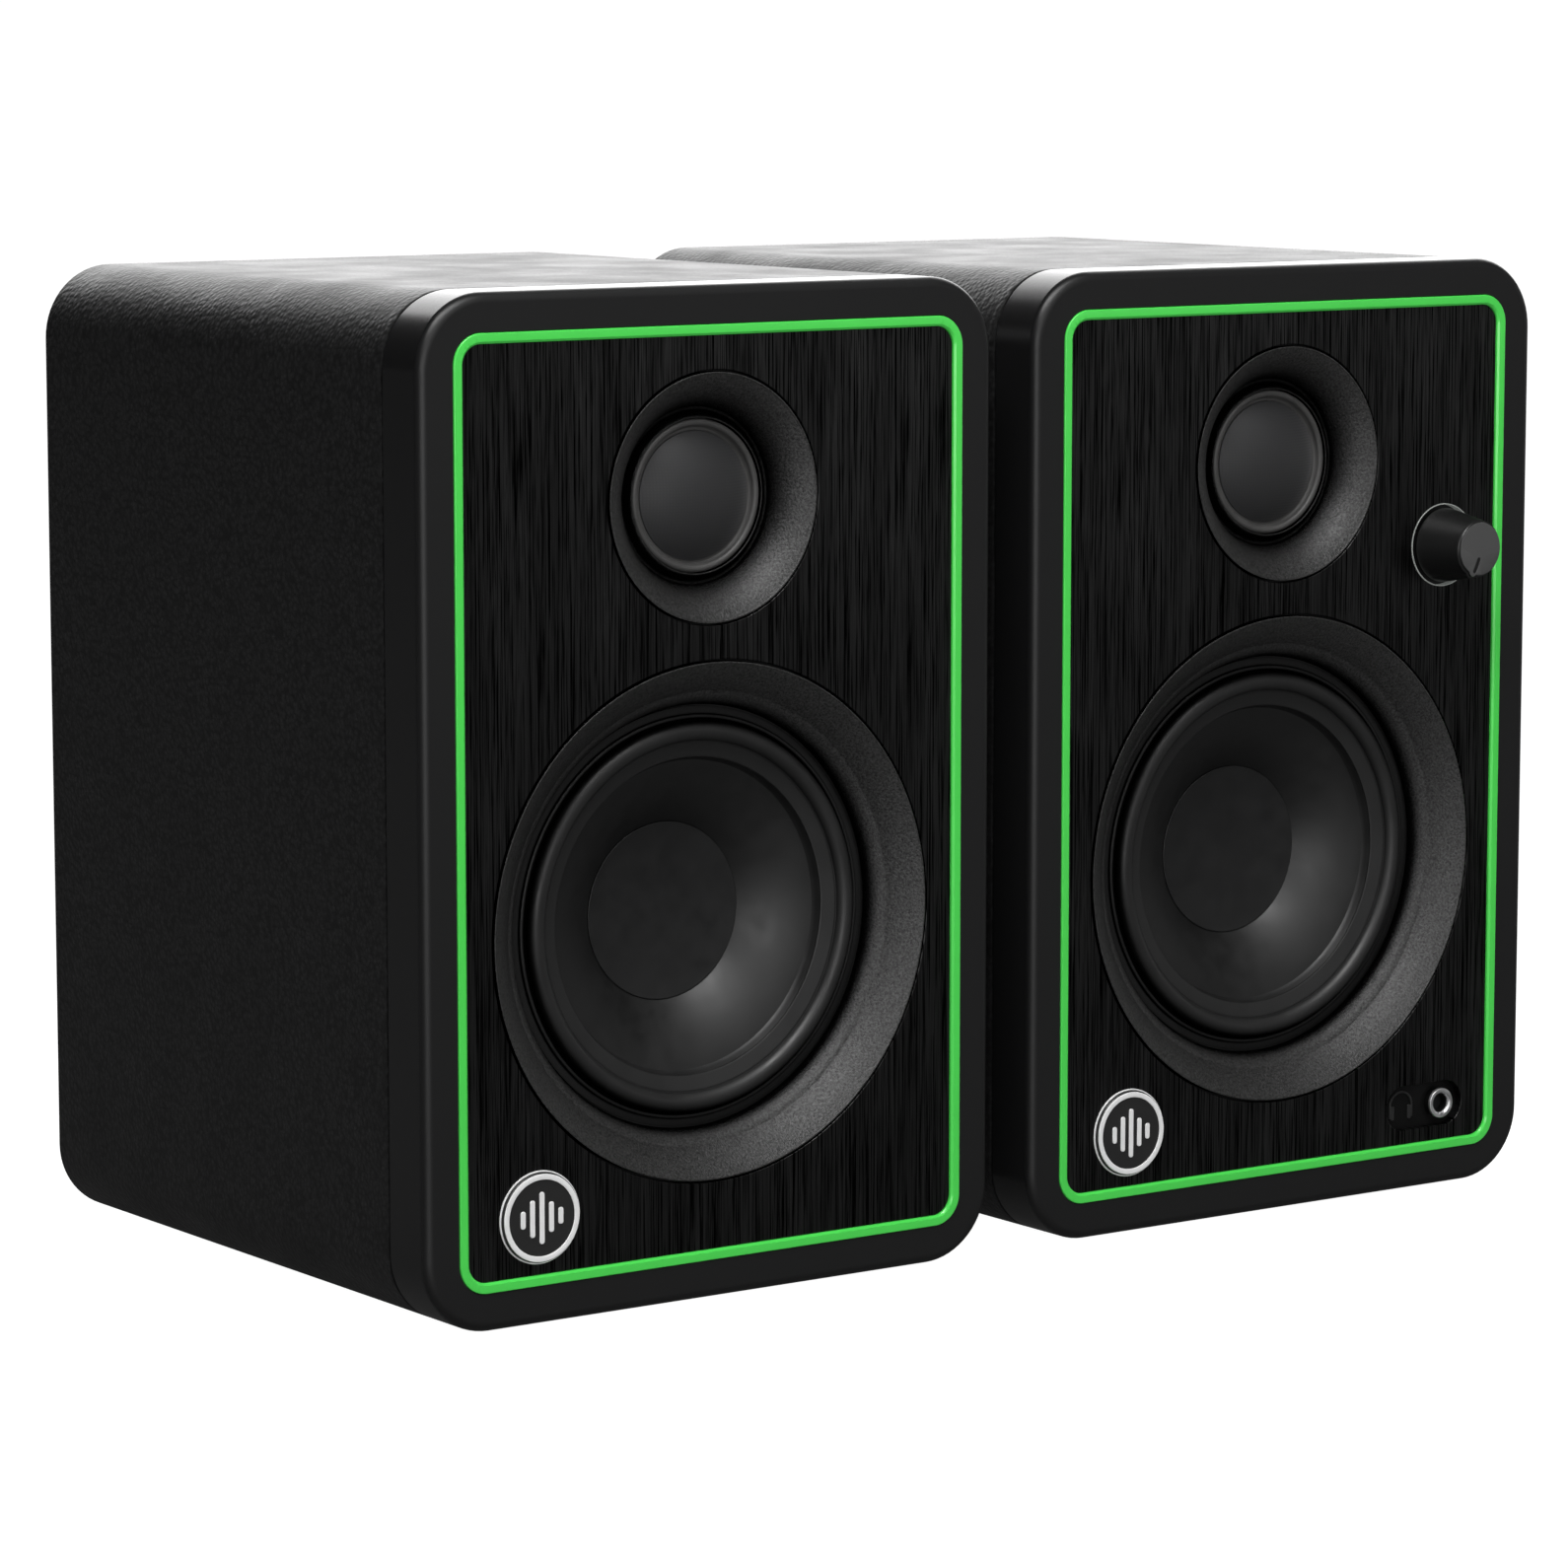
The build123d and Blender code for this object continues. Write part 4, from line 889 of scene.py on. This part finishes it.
# ------------------------------------------------------------------ controls on the powered speaker
def nose_reach(angle, radius, depth):
    """Radius of the knob's pointer nose at an angle, near the face only."""
    distance = math.hypot(*KNOB_NOSE)
    off = angle - math.atan2(KNOB_NOSE[1], KNOB_NOSE[0])
    across = distance * math.sin(off)
    beside = abs(across) >= KNOB_NOSE_RADIUS or math.cos(off) < 0
    behind = depth > KNOB_NOSE_START or radius < KNOB_FACE_RADIUS - 0.5
    if beside or behind:
        return 0
    bevel = max(KNOB_FACE_RADIUS + 0.22 - radius, 0)
    return distance * math.cos(off) + math.sqrt(KNOB_NOSE_RADIUS**2 - across**2) - bevel


def add_knob_body(speaker, x, z, face):
    """Tapered body with a pointer nose; it stands for the shaft inside it as well."""
    bm = bmesh.new()
    skirt = eased((5.4, face + 3.0), (6.8, 0.2), (8.2, 0.2, 0.15), (8.16, -0.3), (6.3, -10.9))
    front_edge = arc((6.28, -11.0), (KNOB_FACE_RADIUS - 0.3, face), -0.18, 8)
    rings = lathe(bm, speaker, (x, z), skirt + front_edge, nose_reach, closed=False)
    cap(bm, [rings[-1]])
    cap(bm, [rings[0]])
    nodes = ["volume_knob", "volume_pot_shaft"]
    piece(bm, speaker, "knob_body", LOOKS["knob"], nodes, "volume", slot="knob_plastic")


def add_knob_face(speaker, x, z, face):
    """Lighter face plate with a pointer groove whose floor is painted black as painted shadow."""
    lean = math.atan2(-2.8, -1.25)
    groove = stadium(x - 1.0, z - 3.6, 3.7, 0.95, lean)
    wall = [(0, face + 0.25), (0, face)]
    raised = face - 0.06
    bm = bmesh.new()
    outline = knob_face_outline(x, z)
    plate(bm, speaker, outline, wall + [(0.12, raised)], [groove], wall + [(0.04, raised)])
    piece(bm, speaker, "knob_face", LOOKS["knob face"], body="volume")
    bm = bmesh.new()
    # Painted shadow: a black sheet fills the groove's floor.
    plate(bm, speaker, groove, [(0, face + 0.3), (0, face + 0.02)])
    piece(bm, speaker, "knob_pointer_painted_shadow", LOOKS["black"], body="volume")


def add_light_ring(speaker, x, z):
    """Thin light ring in the panel around the knob."""
    bm = bmesh.new()
    ring = round_outline(speaker.radius("knob_ring"), x, z)
    profile = rim_profile(PANEL_BACK, PANEL_FRONT - 0.05, 0.04, 3)
    plate(bm, speaker, ring, profile, [grown(ring, -0.2)], profile)
    piece(bm, speaker, "knob_light_ring", LOOKS["light"], ["knob_ring"], slot="light_ring")


def add_knob(speaker):
    """Volume knob, its face and pointer, and the light ring behind it."""
    x, z = speaker.centre("knob_ring")
    face = (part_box(speaker.node("volume_knob"))[0].y - speaker.front) / MM
    add_knob_body(speaker, x, z, face)
    add_knob_face(speaker, x, z, face)
    add_light_ring(speaker, x, z)


def knob_face_outline(x, z):
    """Outline of the knob's lighter face with its nose, as a function of an inset."""

    rim = KNOB_FACE_RADIUS - 0.25

    def outline(inset):
        points = []
        for step in range(TURN_STEPS):
            angle = math.tau * step / TURN_STEPS
            nose = nose_reach(angle, KNOB_FACE_RADIUS, KNOB_NOSE_START) - 0.3
            out = max(rim, nose) - inset
            points.append((x + out * math.cos(angle), z + out * math.sin(angle)))
        return points

    return outline


def stadium(x, z, length, width, lean, steps=10):
    """Round-ended slot outline, turned by lean, as a function of an inset."""

    def outline(inset):
        radius = width / 2 - inset
        half = (length - width) / 2
        points = []
        for end in (1, -1):
            for step in range(steps + 1):
                angle = math.radians(180 * step / steps - 90)
                local = (end * (half + radius * math.cos(angle)), end * radius * math.sin(angle))
                points.append((
                    x + local[0] * math.cos(lean) - local[1] * math.sin(lean),
                    z + local[0] * math.sin(lean) + local[1] * math.cos(lean),
                ))
        return points

    return outline


def add_headphone_socket(speaker):
    """Ring nut, the dark tube behind it, the recess floor and the raised headphone symbol."""
    x, z = speaker.centre("jack_nut")
    add_jack_ring(speaker, x, z)
    add_jack_tube(speaker, x, z)
    add_recess_floor(speaker, x, z)
    add_headphone_symbol(speaker, x - 10.4, z)


def add_jack_ring(speaker, x, z):
    """Bright ring nut with a funnel towards the plug hole."""
    nut = speaker.radius("jack_nut") - 0.15
    back = 0.9
    face = 0.2
    outline = eased((nut, back), (nut, face, 0.2), (2.6, face, 0.15), (2.2, 0.6, 0.2), (2.15, back))
    turned(speaker, (x, z), outline, "jack_ring", LOOKS["chrome"], ["jack_nut"], slot="chrome_ring")


def add_jack_tube(speaker, x, z):
    """Black sleeve for the plug, and the block at its end."""
    mouth = 0.92
    shoulder = 2.6
    end = 15.0
    bore = SOCKET_RADIUS - 0.1
    collar = [(3.2, shoulder), (3.2, mouth), (SOCKET_RADIUS, mouth), (bore, shoulder)]
    sleeve = collar + [(bore, end), (3.0, end), (3.0, shoulder)]
    bm = bmesh.new()
    lathe(bm, speaker, (x, z), sleeve)
    plate(bm, speaker, rounded(9, 9, 0.4, x, z), [(0, 20.0), (0, end)])
    piece(bm, speaker, "jack_tube", LOOKS["black"], ["headphone_jack"], slot="black_gloss_plastic")


def add_recess_floor(speaker, x, z):
    """Floor of the oval recess, with a hole for the sleeve."""
    bm = bmesh.new()
    floor = [(0, PANEL_BACK + 0.04), (0, PANEL_BACK - 0.1)]
    plate(bm, speaker, pill_outline(speaker), floor, [round_outline(3.3, x, z)])
    piece(bm, speaker, "recess_floor", LOOKS["black"])


def add_headphone_symbol(speaker, x, z):
    """Plain headphones: an arch with a cup at each end."""
    bm = bmesh.new()
    raised = rim_profile(PANEL_BACK + 0.1, 2.05, 0.1, 3)
    plate(bm, speaker, headband(x, z + 0.15, 3.45, 0.5), raised)
    for side in (-1, 1):
        plate(bm, speaker, rounded(1.0, 3.2, 0.4, x + side * 2.5, z - 1.35), raised)
    piece(bm, speaker, "headphone_symbol", LOOKS["icon"])


def headband(x, z, radius, width, steps=28):
    """Arch outline with straight ends, as a function of an inset."""
    drop = 2.6

    def outline(inset):
        outer = radius - inset
        inner = radius - width + inset
        arch = [math.pi * step / steps for step in range(steps + 1)]
        points = [(x + outer, z - drop + inset)]
        points += [(x + outer * math.cos(a), z + outer * math.sin(a)) for a in arch]
        points += [(x - outer, z - drop + inset), (x - inner, z - drop + inset)]
        points += [(x + inner * math.cos(a), z + inner * math.sin(a)) for a in reversed(arch)]
        points += [(x + inner, z - drop + inset)]
        return points

    return outline


# ------------------------------------------------------------------ pieces kept from the CAD model
KEPT = {
    "woofer_basket": "steel",
    "woofer_voice_coil": "nickel",
    "woofer_spider": "cloth",
    "woofer_magnet": "ferrite",
    "woofer_pole_pieces": "zinc",
    "tweeter_motor": "zinc",
    "port_tube": "port",
    "feet": "foot",
    "screws": "screw",
    "terminal_lever_red": "red",
    "terminal_lever_black": "black",
    "terminal_plate": "port",
    "crossover": "board",
    "amp_plate": "plate",
    "phono_sockets": "nickel",
    "power_inlet": "black",
    "position_switch": "black",
    "amplifier_board": "board",
    "transformer": "steel",
    "volume_pot_body": "zinc",
}


def dress_kept_nodes(speaker):
    """Give the CAD pieces that keep their shape a finish and smooth round faces."""
    for name, look in KEPT.items():
        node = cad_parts.get(speaker.node(name))
        if node is None:
            continue
        node.data.materials.clear()
        node.data.materials.append(LOOKS[look])
        node.data.shade_smooth()
        node.data.set_sharp_from_angle(angle=math.radians(KEPT_SHARP_ANGLE))


# ------------------------------------------------------------------ stage, light and camera
def add_floor():
    """Plain white floor that fades into the white background; it stays dark in reflections."""
    bm = bmesh.new()
    bmesh.ops.create_grid(bm, x_segments=8, y_segments=8, size=FLOOR_REACH)
    mesh = bpy.data.meshes.new("floor")
    bm.to_mesh(mesh)
    bm.free()
    floor = bpy.data.objects.new("floor", mesh)
    bpy.context.scene.collection.objects.link(floor)
    look = Look("pale_floor", (0.9, 0.9, 0.9), 0.9, specular=0.0)
    seen = look.add("ShaderNodeLightPath").outputs["Is Camera Ray"]
    glossy = look.add("ShaderNodeLightPath").outputs["Is Glossy Ray"]
    look.color(look.blended(glossy, (0.3, 0.3, 0.3), (0.05, 0.05, 0.05)))
    look.shader.inputs["Emission Color"].default_value = (1, 1, 1, 1)
    shine = look.combined("MULTIPLY", glossy, 0.06)
    look.feed(look.shader.inputs["Emission Strength"], look.combined("ADD", seen, shine))
    glow = look.add("ShaderNodeEmission", Strength=WHITE_STRENGTH)
    away = look.add("ShaderNodeVectorMath", Vector=look.place)
    away.operation = "LENGTH"
    fade = look.combined("MULTIPLY", look.mapped(away.outputs["Value"], 0, 1, 0.16, 0.5), seen)
    mixed = look.mix(fade, look.shader.outputs["BSDF"], glow.outputs["Emission"])
    look.feed(look.tree.nodes["Material Output"].inputs["Surface"], mixed)
    mesh.materials.append(look.material)


def add_world():
    """White where the camera looks, and a dim studio elsewhere."""
    world = bpy.data.worlds.new("studio")
    bpy.context.scene.world = world
    world.use_nodes = True
    tree = world.node_tree
    backdrop = tree.nodes["Background"]
    backdrop.inputs["Color"].default_value = (1, 1, 1, 1)
    backdrop.inputs["Strength"].default_value = WHITE_STRENGTH
    dim = tree.nodes.new("ShaderNodeBackground")
    dim.inputs["Strength"].default_value = 0.015
    mix = tree.nodes.new("ShaderNodeMixShader")
    seen = tree.nodes.new("ShaderNodeLightPath")
    tree.links.new(seen.outputs["Is Camera Ray"], mix.inputs["Fac"])
    tree.links.new(dim.outputs["Background"], mix.inputs[1])
    tree.links.new(backdrop.outputs["Background"], mix.inputs[2])
    tree.links.new(mix.outputs["Shader"], tree.nodes["World Output"].inputs["Surface"])


def add_light(name, place, target, width, height, power):
    """Rectangular soft light aimed at a point."""
    data = bpy.data.lights.new(name, "AREA")
    data.shape = "RECTANGLE"
    data.size = width
    data.size_y = height
    data.energy = power
    light = bpy.data.objects.new(name, data)
    light.visible_camera = False
    light.location = place
    light.rotation_mode = "QUATERNION"
    light.rotation_quaternion = (target - place).to_track_quat("-Z", "Y")
    bpy.context.scene.collection.objects.link(light)


def add_lights(middle):
    """Soft boxes above, in front and low at the sides, and a bright wall behind at the right."""
    boxes = {
        "key": ((-0.4, -0.62, 1.2), 1.1, 0.45, 20.0),
        "front": ((-0.98, -1.56, 0.02), 1.0, 0.8, 13.0),
        "front box": ((0.3, -1.4, 0.72), 1.0, 0.5, 1.5),
        "front card": ((0.9, -1.3, 0.14), 0.5, 0.25, 0.3),
        "right": ((1.6, -0.35, 0.1), 0.6, 0.6, 0.8),
        "reflector": ((-0.75, 0.6, -0.4), 0.7, 0.5, 0.65),
        "backdrop": ((0.95, 1.35, 0.75), 2.6, 1.5, 40.0),
    }
    for name, (offset, width, height, power) in boxes.items():
        add_light(name, middle + Vector(offset), middle, width, height, power)


def add_camera(low, high):
    """Camera at the photographed angle: from the left front, slightly above."""
    azimuth = math.radians(-35.435)
    elevation = math.radians(7.642)
    distance = 1.2182
    leftward = 0.04763
    upward = 0.10011
    back = Vector((
        math.sin(azimuth) * math.cos(elevation),
        -math.cos(azimuth) * math.cos(elevation),
        math.sin(elevation),
    ))
    right = Vector((math.cos(azimuth), math.sin(azimuth), 0))
    up = back.cross(right)
    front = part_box("left_front_bezel")[0].y
    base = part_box("left_cabinet")[0].z
    foot = Vector(((low.x + high.x) / 2, front, base))
    data = bpy.data.cameras.new("camera")
    data.lens = 131.67
    data.sensor_width = 36.0
    data.shift_x = -0.0006
    data.shift_y = -0.0025
    camera = bpy.data.objects.new("camera", data)
    camera.location = foot - right * leftward + up * upward + back * distance
    camera.rotation_mode = "QUATERNION"
    camera.rotation_quaternion = (-back).to_track_quat("-Z", "Y")
    bpy.context.scene.collection.objects.link(camera)
    bpy.context.scene.camera = camera


# ------------------------------------------------------------------ assembly
for side in ("left", "right"):
    speaker = Speaker(side)
    powered = side == "right"
    add_cabinet(speaker, powered)
    add_bezel(speaker)
    add_trim(speaker)
    add_panel(speaker, powered)
    add_badge(speaker)
    add_drivers(speaker)
    if powered:
        add_knob(speaker)
        add_headphone_socket(speaker)
    dress_kept_nodes(speaker)

add_floor()
add_world()
add_lights((cad_box[0] + cad_box[1]) / 2)
add_camera(*cad_box)
bpy.context.scene.view_settings.view_transform = "Standard"
